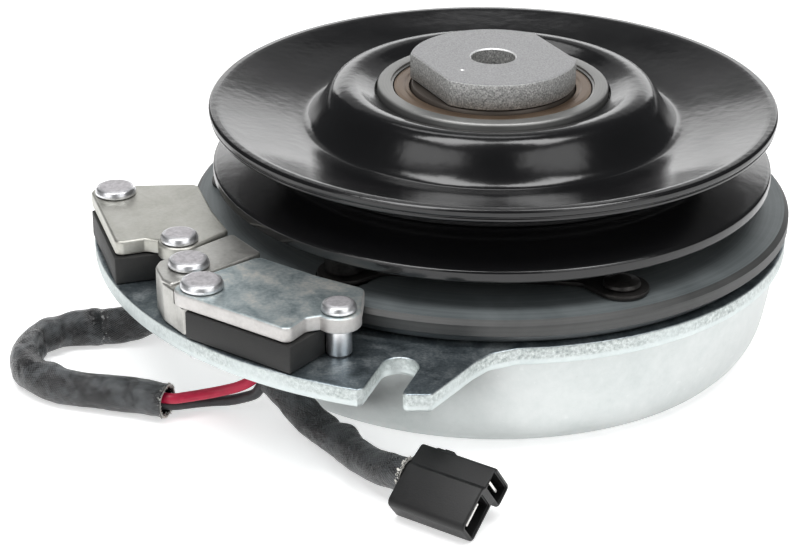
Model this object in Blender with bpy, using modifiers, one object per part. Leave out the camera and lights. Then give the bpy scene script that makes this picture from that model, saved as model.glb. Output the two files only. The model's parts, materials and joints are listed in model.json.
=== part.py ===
"""Electromagnetic clutch for a mower deck drive, with its V-belt pulley, brake shoes and coil lead.

The shaft axis is world Z and the steel field cup stands on the plane Z = 0. Lengths below are in
millimetres and MM turns them into Blender's metres. Angles are in degrees, anticlockwise from +X.
"""

import math

import bmesh
import bpy
from mathutils import Matrix, Vector

MM = 0.001
GAP = 0.3  # clearance between neighbouring pieces

# Facets of a full turn: wide rings, bearings and pins
WIDE_STEPS = 40
RING_STEPS = 24
PIN_STEPS = 10

# Field: cup, mounting plate and coil
PLATE_TOP = 31.8
PLATE_THICKNESS = 5.0
PLATE_RADIUS = 80.5
LOBE_RADIUS = 108.0
CUP_RADIUS = 78.0
CUP_MOUTH_RADIUS = 75.4
CORE_RADIUS = 39.0
SLOT_ANGLE = -105.8
SLOT_WIDTH = 9.2
SLOT_END_CENTRE = (-21.0, -91.1)

# Rotor, armature and their gap
ROTOR_RADIUS = 77.8
ROTOR_FACE = 34.35
ARMATURE_RADIUS = 80.9
ARMATURE_BOTTOM = 34.8
ARMATURE_TOP = 39.1
SPRING_BOTTOM = 39.4
SPRING_TOP = 40.6

# Pulley for a 5/8 inch wide V-belt
PULLEY_RADIUS = 76.2
PULLEY_RIM_TOP = 66.5
LOWER_FLANGE_RADIUS = 75.4
LOWER_RIM_BOTTOM = 46.5
RIM_THICKNESS = 3.3
GROOVE_BOTTOM_RADIUS = 60.5
GROOVE_SLOPE = math.tan(math.radians(17))
SHEET = 3.4

# Hub and bearings
JOURNAL_RADIUS = 17.5
HUB_HEAD_RADIUS = 22.2
HUB_HEAD_TOP = 78.2
HUB_HEAD_BOTTOM = 71.1
HUB_FLAT_DISTANCE = 19.0
HUB_FLAT_ANGLE = 28.0
HUB_BOTTOM = 1.0
BOLT_HOLE_RADIUS = 5.95
CRANK_BORE_RADIUS = 12.7
CRANK_BORE_TOP = 61.0
KEYWAY_WIDTH = 6.35
BEARING_OUTER_RADIUS = 31.0
PULLEY_BEARING = (49.8, 70.8)
FIELD_BEARING = (3.6, 17.6)
BALL_RADIUS = 3.2
BALL_PITCH_RADIUS = 24.3
BALLS_PER_ROW = 8

# Leaf springs: three straps, each from the armature to the pulley
SPRING_START_ANGLES = (-61.7, 58.3, 178.3)
SPRING_SPAN = 61.4
SPRING_ARMATURE_RADIUS = 69.7
SPRING_PULLEY_RADIUS = 66.7
SPRING_PAD_RADIUS = 7.0
SPRING_BODY_WIDTH = 9.0
SPRING_BODY_START = 9.9  # from a pad's centre, where the body's outer edge runs level with the centres

# Brake: two equal shoe units, the left one turned about the shaft, and a bracket between them
BRAKE_PLATE_BOTTOM = 39.4
BRAKE_PLATE_TOP = 43.3
UNIT_TURN = -36.9
UNIT_LONG_RIVET = (-70.4, -73.4)
UNIT_SHORT_RIVET = (-36.0, -84.4)
CENTRE_RIVET = (-75.2, -61.0)
MAGNET_OUTER_CORNER = (-74.1, -79.0)
MAGNET_LONG_ANGLE = -33.7
MAGNET_LENGTH = 32.7
MAGNET_DEPTH = 15.0
MAGNET_CORNER_CUT = 1.5
POST_RADIUS = 3.2
TENON_RADIUS = 2.5
RIVET_HEAD_RADII = (5.5, 4.4, 5.5, 4.9, 5.3)
RIVET_HEAD_TOP = 45.6

# Coil lead: two wires in a woven sleeve that is open where it was folded
FIRST_SLEEVE_RADIUS = 4.5
SECOND_SLEEVE_RADIUS = 4.2
WIRE_RADIUS = 1.4
GROMMET_ANGLE = -170.6
GROMMET_HEIGHT = 12.0
GROMMET_HOLE_RADIUS = 6.3
FIRST_SLEEVE_ROUTE = (
    (-80.9, -13.4, 12.0),
    (-84.3, -14.1, 11.4),
    (-88.6, -15.8, 9.3),
    (-93.6, -18.0, 6.9),
    (-99.5, -19.2, 5.3),
    (-106.5, -19.8, 4.8),
    (-113.3, -21.4, 4.8),
    (-119.2, -25.4, 4.8),
    (-122.4, -32.4, 4.8),
    (-122.4, -40.8, 4.8),
    (-119.2, -48.2, 4.8),
    (-113.2, -53.0, 4.8),
    (-105.8, -55.7, 4.8),
    (-97.6, -57.4, 4.8),
    (-89.4, -59.2, 4.8),
    (-82.0, -61.6, 4.8),
)
RED_WIRE_ROUTE = (
    (-80.4, -61.9, 5.8),
    (-77.5, -61.0, 5.8),
    (-73.8, -60.1, 6.1),
    (-70.4, -59.8, 6.7),
    (-67.0, -59.9, 7.6),
    (-63.8, -60.3, 8.8),
    (-60.6, -60.7, 10.7),
    (-58.2, -60.3, 12.9),
    (-56.6, -60.0, 14.4),
)
BLACK_WIRE_ROUTE = (
    (-80.6, -60.3, 3.1),
    (-78.1, -58.6, 2.5),
    (-74.3, -57.2, 2.4),
    (-70.3, -56.9, 2.7),
    (-66.3, -57.8, 3.5),
    (-62.8, -59.1, 5.0),
    (-59.5, -60.6, 7.0),
    (-58.1, -61.1, 9.0),
    (-57.5, -61.2, 10.0),
)
SECOND_SLEEVE_ROUTE = (
    (-54.4, -62.2, 12.4),
    (-51.9, -64.3, 10.9),
    (-49.6, -66.1, 9.3),
    (-46.8, -68.3, 7.0),
    (-43.6, -70.9, 4.9),
    (-39.6, -75.2, 4.2),
    (-34.9, -81.6, 4.4),
    (-30.3, -88.9, 5.0),
    (-25.5, -95.6, 6.3),
    (-19.3, -101.6, 8.2),
)
SLEEVE_STEP = 8.0
WIRE_STEP = 5.0

# Connector: two cavities in a stepped section, rolled onto its edge
CONNECTOR_ORIGIN = (-18.45, -102.9, 7.85)
CONNECTOR_TURN = -32.2
CONNECTOR_ROLL = 37.3
CONNECTOR_LENGTH = 21.6
CONNECTOR_WALL = 1.1
CAVITY_DEPTH = 12.0
BLADE_RECESS = 1.3
BLADE_WIDTH = 6.3
BLADE_THICKNESS = 0.8


def clear_scene():
    for thing in list(bpy.data.objects):
        bpy.data.objects.remove(thing, do_unlink=True)
    for group in list(bpy.data.collections):
        bpy.data.collections.remove(group)


def new_collection(name):
    group = bpy.data.collections.new(name)
    bpy.context.scene.collection.children.link(group)
    return group


def material(name, colour, roughness, metallic):
    made = bpy.data.materials.new(name)
    made.use_nodes = True
    shader = made.node_tree.nodes["Principled BSDF"]
    shader.inputs["Base Color"].default_value = (*colour, 1.0)
    shader.inputs["Roughness"].default_value = roughness
    shader.inputs["Metallic"].default_value = metallic
    return made


def polar(radius, degrees):
    angle = math.radians(degrees)
    return radius * math.cos(angle), radius * math.sin(angle)


def arc(centre, radius, start, end, steps):
    """Points on an arc from start to end degrees, both ends included."""
    turns = [start + (end - start) * i / steps for i in range(steps + 1)]
    return [(centre[0] + polar(radius, t)[0], centre[1] + polar(radius, t)[1]) for t in turns]


def rounded(corners, steps=4):
    """A closed outline through (x, y, radius) corners, each replaced by an arc of its radius."""
    points = []
    for i, (x, y, radius) in enumerate(corners):
        here = Vector((x, y))
        before = Vector(corners[i - 1][:2]) - here
        after = Vector(corners[(i + 1) % len(corners)][:2]) - here
        if radius == 0:
            points.append((x, y))
            continue
        half = before.angle(after) / 2
        reach = min(radius / math.tan(half), 0.49 * before.length, 0.49 * after.length)
        radius = reach * math.tan(half)
        bisector = (before.normalized() + after.normalized()).normalized()
        centre = here + bisector * (radius / math.sin(half))
        first = here + before.normalized() * reach - centre
        last = here + after.normalized() * reach - centre
        sweep = first.angle_signed(last)
        for step in range(steps + 1):
            turn = Matrix.Rotation(-sweep * step / steps, 2)
            points.append(tuple(centre + turn @ first))
    return points


def sharp(points):
    """The points as corners with no rounding."""
    return [(x, y, 0) for x, y in points]


def turned_about(point, degrees):
    turn = Matrix.Rotation(math.radians(degrees), 2)
    return tuple(turn @ Vector(point))


def add_object(name, data, group, finish=None):
    thing = bpy.data.objects.new(name, data)
    group.objects.link(thing)
    if finish is not None:
        data.materials.append(finish)
    return thing


def make_cutter(thing):
    thing.hide_render = True
    thing.display_type = "WIRE"
    return thing


def turned(name, profile, group, finish=None, steps=WIDE_STEPS, axis_points=False):
    """A solid turned about Z from (radius, z) points; a ring's profile is closed, a pin's is open."""
    area = sum(
        a[0] * b[1] - b[0] * a[1] for a, b in zip(profile, profile[1:] + profile[:1])
    )
    ordered = list(reversed(profile)) if area > 0 else list(profile)
    if axis_points:
        while ordered[0][0] > 0 or ordered[-1][0] > 0:
            ordered = ordered[1:] + ordered[:1]
    mesh = bpy.data.meshes.new(name)
    shape = bmesh.new()
    verts = [shape.verts.new((r * MM, 0, z * MM)) for r, z in ordered]
    for a, b in zip(verts, verts[1:]):
        shape.edges.new((a, b))
    if not axis_points:
        shape.edges.new((verts[-1], verts[0]))
    shape.to_mesh(mesh)
    shape.free()
    thing = add_object(name, mesh, group, finish)
    screw = thing.modifiers.new("Turn", "SCREW")
    screw.angle = math.radians(360)
    screw.steps = steps
    screw.render_steps = steps
    screw.use_merge_vertices = True
    screw.merge_threshold = 0.00001
    screw.use_smooth_shade = True
    return thing


def flat(name, outlines, bottom, top, group, finish=None):
    """A flat piece of the first outline, with a hole for each further one."""
    curve = bpy.data.curves.new(name, "CURVE")
    curve.dimensions = "2D"
    curve.fill_mode = "BOTH"
    curve.extrude = (top - bottom) / 2 * MM
    for points in outlines:
        spline = curve.splines.new("POLY")
        spline.points.add(len(points) - 1)
        spline.use_cyclic_u = True
        for target, (x, y) in zip(spline.points, points):
            target.co = (x * MM, y * MM, 0, 1)
    thing = add_object(name, curve, group, finish)
    thing.location.z = (top + bottom) / 2 * MM
    return thing


def as_mesh(thing):
    """The same object as a welded mesh, so that a Boolean can use it."""
    bpy.context.view_layer.update()
    graph = bpy.context.evaluated_depsgraph_get()
    mesh = bpy.data.meshes.new_from_object(thing.evaluated_get(graph))
    mesh.transform(thing.matrix_world)
    shape = bmesh.new()
    shape.from_mesh(mesh)
    bmesh.ops.remove_doubles(shape, verts=shape.verts, dist=1e-6)
    bmesh.ops.recalc_face_normals(shape, faces=shape.faces)
    shape.to_mesh(mesh)
    shape.free()
    group = thing.users_collection[0]
    name = thing.name
    bpy.data.objects.remove(thing, do_unlink=True)
    solid = bpy.data.objects.new(name, mesh)
    group.objects.link(solid)
    return solid


def boolean(thing, other, operation="DIFFERENCE"):
    step = thing.modifiers.new(other.name, "BOOLEAN")
    step.operation = operation
    step.solver = "EXACT"
    step.object = make_cutter(other)
    return thing


def cylinder_cutter(name, x, y, radius, bottom, top, group, steps=PIN_STEPS):
    return turned_at(
        name, [(0, top), (radius, top), (radius, bottom), (0, bottom)], x, y, group, None, steps
    )


def turned_at(name, profile, x, y, group, finish, steps=PIN_STEPS):
    thing = turned(name, profile, group, finish, steps, axis_points=True)
    thing.location = (x * MM, y * MM, 0)
    return thing


def box_cutter(name, centre, size, degrees, group):
    mesh = bpy.data.meshes.new(name)
    shape = bmesh.new()
    bmesh.ops.create_cube(shape, size=1.0)
    bmesh.ops.scale(shape, vec=Vector(size) * MM, verts=shape.verts)
    shape.to_mesh(mesh)
    shape.free()
    thing = add_object(name, mesh, group)
    thing.location = Vector(centre) * MM
    thing.rotation_euler.z = math.radians(degrees)
    return thing


def tube(name, route, radius, group, finish, step, resolution):
    """A round cord along a smooth curve through the route's points, with a point every step."""
    fine = smooth_route(route, 24)
    lengths = [0.0]
    for a, b in zip(fine, fine[1:]):
        lengths.append(lengths[-1] + (b - a).length)
    count = max(4, round(lengths[-1] / step))
    points = []
    for i in range(count + 1):
        wanted = lengths[-1] * i / count
        k = next((j for j in range(1, len(fine)) if lengths[j] >= wanted - 1e-9), len(fine) - 1)
        share = (wanted - lengths[k - 1]) / (lengths[k] - lengths[k - 1])
        points.append(fine[k - 1].lerp(fine[k], share))
    curve = bpy.data.curves.new(name, "CURVE")
    curve.dimensions = "3D"
    curve.bevel_depth = radius * MM
    curve.bevel_resolution = resolution
    curve.use_fill_caps = True
    spline = curve.splines.new("POLY")
    spline.points.add(len(points) - 1)
    for target, point in zip(spline.points, points):
        target.co = (*(point * MM), 1)
    return add_object(name, curve, group, finish)


def smooth_route(route, steps):
    """Points along a Catmull-Rom curve through the route."""
    knots = [Vector(p) for p in route]
    knots = [2 * knots[0] - knots[1], *knots, 2 * knots[-1] - knots[-2]]
    points = []
    for a, b, c, d in zip(knots, knots[1:], knots[2:], knots[3:]):
        for i in range(steps):
            t = i / steps
            points.append(
                0.5
                * (
                    2 * b
                    + (c - a) * t
                    + (2 * a - 5 * b + 4 * c - d) * t**2
                    + (3 * b - a - 3 * c + d) * t**3
                )
            )
    return [*points, knots[-2]]


def ring_profile(inner, outer, bottom, top):
    return [(outer, top), (outer, bottom), (inner, bottom), (inner, top)]


def make_materials():
    return {
        "black_paint": material("black_paint", (0.012, 0.012, 0.013), 0.25, 0.0),
        "sintered_steel": material("sintered_steel", (0.42, 0.41, 0.40), 0.55, 0.8),
        "dark_steel": material("dark_steel", (0.10, 0.10, 0.105), 0.5, 0.7),
        "bearing_steel": material("bearing_steel", (0.55, 0.54, 0.52), 0.3, 1.0),
        "shield_bronze": material("shield_bronze", (0.22, 0.15, 0.09), 0.5, 0.6),
        "bright_zinc": material("bright_zinc", (0.80, 0.82, 0.82), 0.3, 0.9),
        "brake_zinc": material("brake_zinc", (0.62, 0.62, 0.58), 0.4, 0.9),
        "rivet_steel": material("rivet_steel", (0.75, 0.73, 0.74), 0.22, 1.0),
        "spring_steel": material("spring_steel", (0.16, 0.15, 0.14), 0.45, 0.8),
        "magnet_ferrite": material("magnet_ferrite", (0.05, 0.05, 0.052), 0.6, 0.1),
        "friction_lining": material("friction_lining", (0.09, 0.07, 0.055), 0.85, 0.0),
        "copper": material("copper", (0.60, 0.24, 0.10), 0.35, 0.9),
        "bobbin_plastic": material("bobbin_plastic", (0.75, 0.72, 0.62), 0.5, 0.0),
        "epoxy": material("epoxy", (0.05, 0.05, 0.05), 0.35, 0.0),
        "rubber": material("rubber", (0.02, 0.02, 0.02), 0.7, 0.0),
        "woven_sleeve": material("woven_sleeve", (0.025, 0.025, 0.027), 0.7, 0.0),
        "red_insulation": material("red_insulation", (0.60, 0.02, 0.05), 0.4, 0.0),
        "black_insulation": material("black_insulation", (0.03, 0.03, 0.032), 0.45, 0.0),
        "connector_plastic": material("connector_plastic", (0.018, 0.018, 0.019), 0.45, 0.0),
        "tinned_brass": material("tinned_brass", (0.78, 0.77, 0.74), 0.25, 1.0),
    }


def groove_upper(radius):
    return PULLEY_RIM_TOP - RIM_THICKNESS - (PULLEY_RADIUS - radius) * GROOVE_SLOPE


def groove_lower(radius):
    rim = LOWER_RIM_BOTTOM + RIM_THICKNESS
    return rim + (LOWER_FLANGE_RADIUS - radius) * GROOVE_SLOPE


def make_pulley(parts, finishes):
    """Upper and lower sheave halves, drawn from sheet, and the turned housing of their bearing."""
    paint = finishes["black_paint"]
    rim = PULLEY_RADIUS
    top = PULLEY_RIM_TOP
    bore = BEARING_OUTER_RADIUS + GAP
    under = top - RIM_THICKNESS
    upper = [
        (rim - 1.2, top),
        (rim, top - 1.3),
        (rim, under + 0.8),
        (rim - 1.2, groove_upper(rim - 1.2)),
        (GROOVE_BOTTOM_RADIUS + 1.2, groove_upper(GROOVE_BOTTOM_RADIUS + 1.2)),
        (GROOVE_BOTTOM_RADIUS, 57.6),
        (GROOVE_BOTTOM_RADIUS, 55.2),
        (52.0, 55.2),
        (48.6, 56.6),
        (44.6, 62.2),
        (41.0, 66.6),
        (38.0, 67.4),
        (36.4, 66.2),
        (bore + 0.1, 66.2),
        (bore + 0.1, 68.6),
        (bore + 1.2, 69.5),
        (35.2, 70.5),
        (39.4, 71.5),
        (42.2, 70.6),
        (46.2, 65.2),
        (48.6, 61.9),
        (50.6, 60.8),
        (64.0, 63.7),
        (rim - 3.6, top - 0.3),
    ]
    turned("pulley_upper_sheave", upper, parts, paint)
    web = GROOVE_BOTTOM_RADIUS
    low = LOWER_FLANGE_RADIUS
    inner = 37.4
    lower = [
        (low - 1.0, groove_lower(low - 1.0)),
        (low, groove_lower(low) - 1.0),
        (low, LOWER_RIM_BOTTOM + 0.8),
        (low - 1.0, LOWER_RIM_BOTTOM),
        (web + 1.5, groove_lower(web + 1.5) - SHEET - 0.4),
        (web - 2.5, 51.3),
        (inner, 51.3),
        (inner, 54.9),
        (web - 0.8, 54.9),
        (web + 0.6, groove_lower(web + 0.6)),
    ]
    turned("pulley_lower_sheave", lower, parts, paint)
    housing = [
        (inner - GAP, 65.9),
        (inner - GAP, 51.0),
        (inner + 1.8, 51.0),
        (inner + 1.8, 47.8),
        (bore - 2.2, 47.8),
        (bore - 2.2, 49.5),
        (bore, 49.5),
        (bore, 65.9),
    ]
    turned("pulley_bearing_housing", housing, parts, paint, RING_STEPS)


def bearing(name, span, rows, parts, finishes):
    """A deep-groove ball bearing: two races, a united row of balls in a cage, and two shields."""
    bottom, top = span
    steel = finishes["bearing_steel"]
    groove = BALL_RADIUS + 0.4
    inner_land = BALL_PITCH_RADIUS - 2.3
    outer_land = BALL_PITCH_RADIUS + 2.5
    bore = JOURNAL_RADIUS + GAP
    angles = (48, 0, -48)
    inner = [(bore + 0.5, bottom), (bore, bottom + 0.5), (bore, top - 0.5), (bore + 0.5, top)]
    inner += [(inner_land, top)]
    outer = [(BEARING_OUTER_RADIUS - 0.6, bottom), (BEARING_OUTER_RADIUS, bottom + 0.6)]
    outer += [(BEARING_OUTER_RADIUS, top - 0.6), (BEARING_OUTER_RADIUS - 0.6, top)]
    outer += [(outer_land, top)]
    for height in sorted(rows, reverse=True):
        for a in angles:
            turn = math.radians(a)
            z = height + groove * math.sin(turn)
            inner.append((BALL_PITCH_RADIUS - groove * math.cos(turn), z))
            outer.append((BALL_PITCH_RADIUS + groove * math.cos(turn), z))
    inner.append((inner_land, bottom))
    outer.append((outer_land, bottom))
    turned(f"{name}_inner_race", inner, parts, steel, RING_STEPS)
    turned(f"{name}_outer_race", outer, parts, steel, RING_STEPS)
    for edge, low in (("top", top - 1.5), ("bottom", bottom + 0.9)):
        shield = ring_profile(inner_land + GAP + 0.1, outer_land - GAP, low, low + 0.6)
        turned(f"{name}_shield_{edge}", shield, parts, finishes["shield_bronze"], RING_STEPS)


def ball_set(name, height, parts, cutters, finishes):
    """One row of balls, united with the cage ring that spaces them."""
    steel = finishes["bearing_steel"]
    cage = ring_profile(BALL_PITCH_RADIUS - 0.7, BALL_PITCH_RADIUS + 0.7, height - 1.4, height + 1.4)
    thing = turned(name, cage, parts, steel, RING_STEPS)
    mesh = bpy.data.meshes.new(f"{name}_balls")
    shape = bmesh.new()
    for i in range(BALLS_PER_ROW):
        x, y = polar(BALL_PITCH_RADIUS, 360 * i / BALLS_PER_ROW + 4.5)
        place = Matrix.Translation(Vector((x, y, height)) * MM)
        bmesh.ops.create_uvsphere(
            shape, u_segments=6, v_segments=4, radius=BALL_RADIUS * MM, matrix=place
        )
    shape.to_mesh(mesh)
    shape.free()
    balls = add_object(f"{name}_balls", mesh, cutters)
    return boolean(thing, balls, "UNION")


def make_hub(parts, cutters, finishes):
    """The shaft that carries both bearings, with its two-flat head and the keyed crank bore."""
    c = 0.7
    profile = [
        (HUB_HEAD_RADIUS - c, HUB_HEAD_TOP),
        (HUB_HEAD_RADIUS, HUB_HEAD_TOP - c),
        (HUB_HEAD_RADIUS, HUB_HEAD_BOTTOM + c),
        (HUB_HEAD_RADIUS - c, HUB_HEAD_BOTTOM),
        (JOURNAL_RADIUS, HUB_HEAD_BOTTOM),
        (JOURNAL_RADIUS, 3.1),
        (JOURNAL_RADIUS - 1.0, 3.1),
        (JOURNAL_RADIUS - 1.0, 1.9),
        (JOURNAL_RADIUS, 1.9),
        (JOURNAL_RADIUS - 0.6, HUB_BOTTOM),
        (CRANK_BORE_RADIUS, HUB_BOTTOM),
        (CRANK_BORE_RADIUS, CRANK_BORE_TOP),
        (BOLT_HOLE_RADIUS, CRANK_BORE_TOP),
        (BOLT_HOLE_RADIUS, HUB_HEAD_TOP),
    ]
    hub = turned("hub_shaft", profile, parts, finishes["sintered_steel"], RING_STEPS)
    for side in (0, 180):
        angle = HUB_FLAT_ANGLE + side
        reach = 20.0
        x, y = polar(HUB_FLAT_DISTANCE + reach / 2, angle)
        height = HUB_HEAD_TOP - HUB_HEAD_BOTTOM + 4
        middle = HUB_HEAD_BOTTOM + height / 2 - 0.05
        name = f"hub_flat_cutter_{side}"
        flat_box = box_cutter(name, (x, y, middle), (reach, 60, height), angle, cutters)
        boolean(hub, flat_box)
    depth = CRANK_BORE_RADIUS + 2.4
    centre = (depth / 2, 0, CRANK_BORE_TOP / 2 - 1)
    size = (depth, KEYWAY_WIDTH, CRANK_BORE_TOP)
    return boolean(hub, box_cutter("keyway_cutter", centre, size, 0, cutters))


def banana(radius, half_width, start, end, steps=6):
    """The outline of a slot that follows an arc about the shaft."""
    outer = arc((0, 0), radius + half_width, start, end, steps)
    inner = arc((0, 0), radius - half_width, end, start, steps)
    return outer + inner


def make_rotor(parts, cutters, finishes):
    """The driven disc on its boss, with a groove for the friction ring and slots between poles."""
    bore = JOURNAL_RADIUS + GAP
    rim_bottom = PLATE_TOP + GAP
    profile = [
        (ROTOR_RADIUS, ROTOR_FACE),
        (ROTOR_RADIUS, rim_bottom),
        (CUP_MOUTH_RADIUS - 1.2, rim_bottom),
        (CUP_MOUTH_RADIUS - 1.2, 26.6),
        (27.0, 26.6),
        (23.0, 22.6),
        (21.5, 18.0),
        (bore, 18.0),
        (bore, 49.4),
        (21.5, 49.4),
        (21.5, 38.0),
        (24.0, ROTOR_FACE),
        (60.0, ROTOR_FACE),
        (60.0, ROTOR_FACE - 1.8),
        (66.0, ROTOR_FACE - 1.8),
        (66.0, ROTOR_FACE),
    ]
    rotor = turned("rotor", profile, parts, finishes["dark_steel"])
    for i in range(4):
        outline = banana(63.0, 1.6, 90 * i + 9, 90 * i + 81)
        slot = as_mesh(flat(f"rotor_slot_cutter_{i}", [outline], 20, 40, cutters))
        boolean(rotor, slot)
    ring = ring_profile(60.3, 65.7, ROTOR_FACE - 1.5, ROTOR_FACE)
    turned("friction_ring", ring, parts, finishes["friction_lining"])
    clip = arc((0, 0), 20.6, -164, 164, 20) + arc((0, 0), JOURNAL_RADIUS - 0.7, 160, -160, 16)
    flat("shaft_snap_ring", [clip], 2.2, 2.8, parts, finishes["spring_steel"])


def make_armature(parts, finishes):
    """The steel ring that the field pulls down, with its springs' rivets."""
    outlines = [arc((0, 0), ARMATURE_RADIUS, 0, 351, 39)]
    outlines.append(arc((0, 0), 43.0, 0, 342, 19))
    for start in SPRING_START_ANGLES:
        outlines.append(arc(polar(SPRING_ARMATURE_RADIUS, start), TENON_RADIUS + 0.4, 0, 315, 7))
        relief = polar(SPRING_PULLEY_RADIUS, start - SPRING_SPAN)
        outlines.append(arc(relief, 6.2, 0, 330, 11))
    for i in range(3):
        outlines.append(banana(54.0, 1.5, 120 * i + 8, 120 * i + 112))
    steel = finishes["dark_steel"]
    flat("armature", outlines, ARMATURE_BOTTOM, ARMATURE_TOP, parts, steel)
    rivet = [
        (0, 42.5),
        (2.6, 42.3),
        (4.4, 41.8),
        (4.9, SPRING_TOP + GAP),
        (TENON_RADIUS, SPRING_TOP + GAP),
        (TENON_RADIUS, ARMATURE_BOTTOM + 0.3),
        (0, ARMATURE_BOTTOM + 0.3),
    ]
    for i, start in enumerate(SPRING_START_ANGLES, 1):
        x, y = polar(SPRING_ARMATURE_RADIUS, start)
        turned_at(f"armature_rivet_{i}", rivet, x, y, parts, finishes["spring_steel"])


def spring_outline(a, b):
    """A strap with a round pad at each end and a body that lies inwards of the line between them."""
    along = (b - a).normalized()
    outward = Vector((-along.y, along.x))
    heading = math.degrees(math.atan2(along.y, along.x))
    width = SPRING_BODY_WIDTH
    start = SPRING_BODY_START
    bend = 3.0
    corners = sharp(arc(b, SPRING_PAD_RADIUS, heading + 135, heading - 90, 10))
    corners.append((*(b - along * start - outward * width), bend))
    corners.append((*(a + along * start - outward * width), bend))
    corners += sharp(arc(a, SPRING_PAD_RADIUS, heading - 90, heading - 315, 10))
    corners.append((*(a + along * start), bend))
    corners.append((*(b - along * start), bend))
    return rounded(corners, 3)


def make_springs(parts, cutters, finishes):
    """The straps that drive the armature and lift it off, and their studs on the pulley."""
    base = SPRING_TOP + GAP
    reach = SPRING_PULLEY_RADIUS + 6
    inner_reach = SPRING_PULLEY_RADIUS - 6
    cut = [
        (reach, groove_lower(reach) - RIM_THICKNESS - 0.6),
        (inner_reach, groove_lower(inner_reach) - RIM_THICKNESS - 0.6),
        (inner_reach, 60),
        (reach, 60),
    ]
    stud = [
        (0, 52),
        (5.0, 52),
        (5.0, base),
        (TENON_RADIUS, base),
        (TENON_RADIUS, ARMATURE_TOP),
        (4.4, ARMATURE_TOP),
        (4.4, ARMATURE_TOP - 1.8),
        (0, ARMATURE_TOP - 1.8),
    ]
    for i, start in enumerate(SPRING_START_ANGLES, 1):
        a = Vector(polar(SPRING_ARMATURE_RADIUS, start))
        b = Vector(polar(SPRING_PULLEY_RADIUS, start - SPRING_SPAN))
        outlines = [spring_outline(a, b)]
        outlines += [arc(p, TENON_RADIUS + 0.4, 0, 315, 7) for p in (a, b)]
        steel = finishes["spring_steel"]
        flat(f"leaf_spring_{i}", outlines, SPRING_BOTTOM, SPRING_TOP, parts, steel)
        peg = turned_at(f"spring_stud_{i}", stud, b.x, b.y, parts, steel)
        boolean(peg, turned(f"sheave_seat_cutter_{i}", cut, cutters))


def make_field(parts, cutters, finishes):
    """The drawn cup, the core that carries its bearing, and the coil between them."""
    zinc = finishes["bright_zinc"]
    wall = [
        (CUP_RADIUS, PLATE_TOP - PLATE_THICKNESS - GAP),
        (CUP_RADIUS - 0.3, 22.0),
        (CUP_RADIUS - 2.4, 8.4),
        (CUP_RADIUS - 4.4, 4.0),
        (CUP_RADIUS - 6.8, 1.2),
        (CUP_RADIUS - 9.2, 0.0),
        (CORE_RADIUS + GAP, 0.0),
        (CORE_RADIUS + GAP, 2.8),
        (67.2, 2.8),
        (70.4, 4.6),
        (74.0, 14.0),
        (CUP_MOUTH_RADIUS - 0.4, 22.0),
        (CUP_MOUTH_RADIUS, PLATE_TOP - PLATE_THICKNESS - GAP),
    ]
    cup = turned("field_cup", wall, parts, zinc)
    hole = cylinder_cutter(
        "grommet_hole_cutter", 0, 0, GROMMET_HOLE_RADIUS, -20, 20, cutters
    )
    x, y = polar(CUP_RADIUS, GROMMET_ANGLE)
    hole.location = Vector((x, y, GROMMET_HEIGHT)) * MM
    hole.rotation_euler = (0, math.radians(90), math.radians(GROMMET_ANGLE))
    boolean(cup, hole)
    core = [
        (CORE_RADIUS, 25.6),
        (CORE_RADIUS, 0.0),
        (28.0, 0.0),
        (28.0, 3.2),
        (BEARING_OUTER_RADIUS + GAP, 3.2),
        (BEARING_OUTER_RADIUS + GAP, 25.6),
    ]
    turned("field_core", core, parts, finishes["sintered_steel"], RING_STEPS)
    clip = arc((0, 0), BEARING_OUTER_RADIUS - 0.1, -160, 160, 24) + arc((0, 0), 28.2, 156, -156, 20)
    flat("bearing_snap_ring", [clip], 18.0, 19.2, parts, finishes["spring_steel"])
    bobbin = [
        (66.4, 4.7),
        (66.4, 3.3),
        (CORE_RADIUS + GAP, 3.3),
        (CORE_RADIUS + GAP, 24.4),
        (72.4, 24.4),
        (72.4, 23.0),
        (CORE_RADIUS + 1.9, 23.0),
        (CORE_RADIUS + 1.9, 4.7),
    ]
    turned("coil_bobbin", bobbin, parts, finishes["bobbin_plastic"], RING_STEPS)
    winding = ring_profile(CORE_RADIUS + 2.2, 65.8, 5.0, 22.7)
    turned("coil_winding", winding, parts, finishes["copper"], RING_STEPS)
    seal = [
        (72.2, 22.7),
        (71.0, 10.4),
        (68.2, 5.6),
        (66.4, 5.0),
        (66.4, 22.7),
    ]
    turned("coil_potting", seal, parts, finishes["epoxy"], WIDE_STEPS)
    grommet = [
        (0, 80.4),
        (5.4, 80.4),
        (7.4, 79.6),
        (7.8, CUP_RADIUS + 0.1),
        (5.9, CUP_RADIUS + 0.1),
        (5.9, 73.9),
        (0, 73.9),
    ]
    plug = turned("lead_grommet", grommet, parts, finishes["rubber"], PIN_STEPS, axis_points=True)
    plug.location.z = GROMMET_HEIGHT * MM
    plug.rotation_euler = (0, math.radians(90), math.radians(GROMMET_ANGLE))


def mounting_outline():
    """The round plate with its brake lobe, open slot and hook, anticlockwise from the hook."""
    away = Vector(polar(1, SLOT_ANGLE))
    across = Vector((-away.y, away.x))
    end = Vector(SLOT_END_CENTRE)
    half = SLOT_WIDTH / 2
    left_mouth = end - across * half + away * 13.3
    right_mouth = end + across * half + away * 14.2
    slot_end = arc(end, half, SLOT_ANGLE - 90, SLOT_ANGLE - 270, 8)
    corners = sharp(arc((0, 0), PLATE_RADIUS, -84.5, 165.5, 30))
    corners += [(*polar(PLATE_RADIUS, 171.5), 8), (*polar(LOBE_RADIUS, 173.5), 9)]
    corners += sharp(arc((0, 0), LOBE_RADIUS, 181.5, 253.6, 14))
    corners += [(*left_mouth, 0.8), *sharp(slot_end), (*(right_mouth - away * 0.6), 1.0)]
    corners += [(-13.9, -105.2, 1.6), (-8.6, -95.8, 4), (-4.4, -89.4, 6), (0.8, -84.6, 5)]
    return rounded(corners, 3)


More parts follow.
